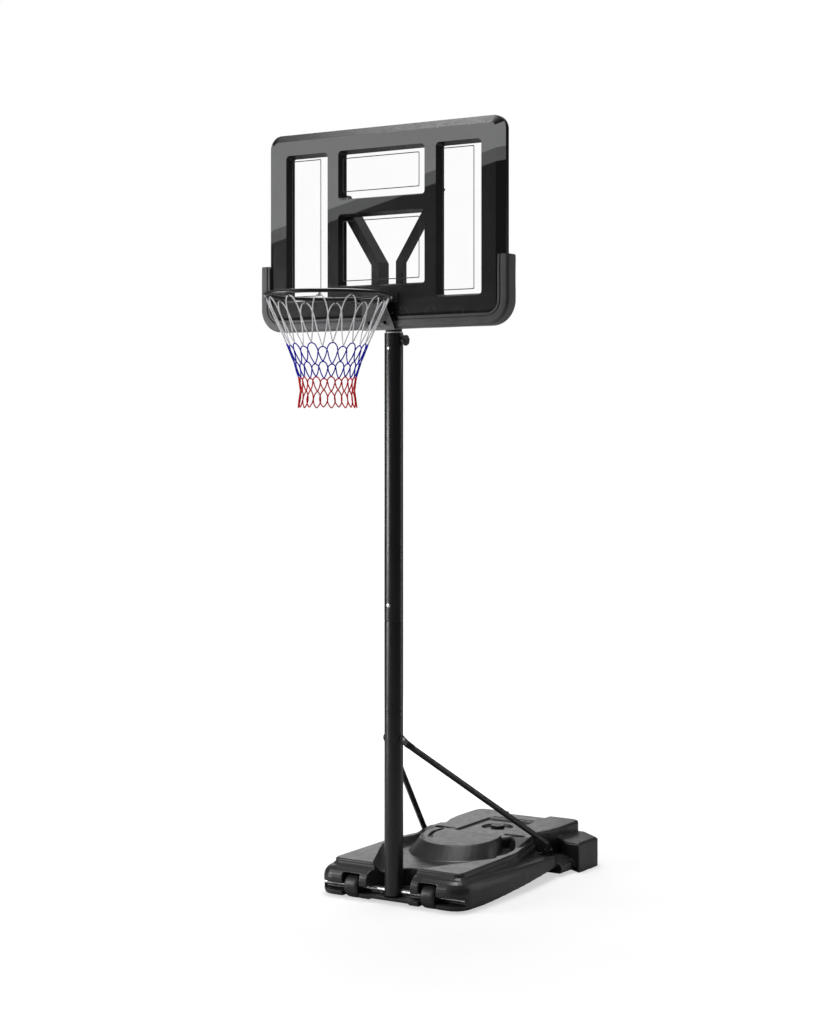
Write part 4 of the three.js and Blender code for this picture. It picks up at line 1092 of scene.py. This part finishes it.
def floor():
    mesh = bpy.data.meshes.new("floor")
    corners = [(-1, -1), (1, -1), (1, 1), (-1, 1)]
    points = [(x * FLOOR_REACH, y * FLOOR_REACH, 0) for x, y in corners]
    mesh.from_pydata(points, [], [(0, 1, 2, 3)])
    mesh.materials.append(floor_surface("floor"))
    piece = bpy.data.objects.new("floor", mesh)
    bpy.context.scene.collection.objects.link(piece)


def softbox(name, place, target, area, power):
    data = bpy.data.lights.new(name, "AREA")
    data.shape = "RECTANGLE"
    data.size, data.size_y = area
    data.energy = power
    lamp = bpy.data.objects.new(name, data)
    lamp.location = place
    lamp.visible_camera = False
    lamp.rotation_euler = (Vector(target) - Vector(place)).to_track_quat("-Z", "Y").to_euler()
    bpy.context.scene.collection.objects.link(lamp)


# Each lamp's name, place, the point it faces, its two sizes and its power in watts.
SOFTBOXES = [
    ("key", (-2.6, -2.9, 1.6), (0, -0.1, 0.15), (1.3, 1.3), 60),
    ("left_strip", (-2.9, -2.15, 1.4), (0, -0.22, 1.4), (0.24, 3.2), 40),
    ("right_strip", (2.3, 2.3, 1.4), (0, -0.22, 1.4), (0.12, 3.2), 12),
    ("back", (-3.6, 4.6, 1.9), (0, 0.2, 0.1), (3.6, 1.6), 34),
    ("overhead", (-0.4, 0.6, 5.0), (0, 0.3, 0.2), (2.6, 2.2), 170),
]
# Bearing in degrees from the court side, lens in mm, upward shift as a share of the picture's longer side,
# and the rest in metres: distance from the pole, step to its right, height.
CAMERA = {
    "bearing": 31.6,
    "distance": 7.753,
    "aside": 0.1038,
    "height": 1.874,
    "lens": 67.46,
    "shift": -0.0715,
}


def studio():
    """White to the camera. For light and reflections, grey, and brighter overhead and on its side."""
    world = bpy.data.worlds.new("studio")
    bpy.context.scene.world = world
    world.use_nodes = True
    s = Nodes(world.node_tree, "ShaderNodeOutputWorld", "Generated")
    x, y, z = s.split()
    bearing = math.radians(CAMERA["bearing"])
    toward_x = s.sum("MULTIPLY", x, math.sin(bearing))
    toward_y = s.sum("MULTIPLY", y, math.cos(bearing))
    toward = s.sum("SUBTRACT", toward_x, toward_y)
    before = s.spread(toward, 0.0, 0.06, -0.1, 0.9)
    above = s.spread(z, 0.0, 0.24, 0.3, 1.0)
    strength = s.sum("ADD", s.sum("ADD", before, above), 0.04)
    surround = s.shader("ShaderNodeBackground", Color=grey(1.0), Strength=strength)
    seen = s.shader("ShaderNodeBackground", Color=grey(1.0), Strength=1.0)
    camera_ray = s.add("ShaderNodeLightPath").outputs["Is Camera Ray"]
    s.finish(s.join(camera_ray, surround, seen))
    for name, place, target, area, power in SOFTBOXES:
        softbox(name, place, target, area, power)


def camera():
    """A level camera to the right of the court side, with its picture shifted down instead of tilted."""
    bearing = math.radians(CAMERA["bearing"])
    back = Vector((math.sin(bearing), -math.cos(bearing), 0))
    right = Vector((math.cos(bearing), math.sin(bearing), 0))
    data = bpy.data.cameras.new("camera")
    data.lens = CAMERA["lens"]
    data.shift_y = CAMERA["shift"]
    view = bpy.data.objects.new("camera", data)
    place = Vector((POLE_AXIS.x, POLE_AXIS.y, CAMERA["height"]))
    view.location = place + back * CAMERA["distance"] + right * CAMERA["aside"]
    view.rotation_euler = (math.pi / 2, 0, bearing)
    bpy.context.scene.collection.objects.link(view)
    bpy.context.scene.camera = view


finish_cad_nodes()
ballast_tank()
wheels()
axle()
struts()
outer_pole()
pole_bush()
inner_pole()
lock_knob()
edge_pad()
window_lines()
rim()
net()
floor()
studio()
camera()
bpy.context.scene.view_settings.view_transform = "Standard"
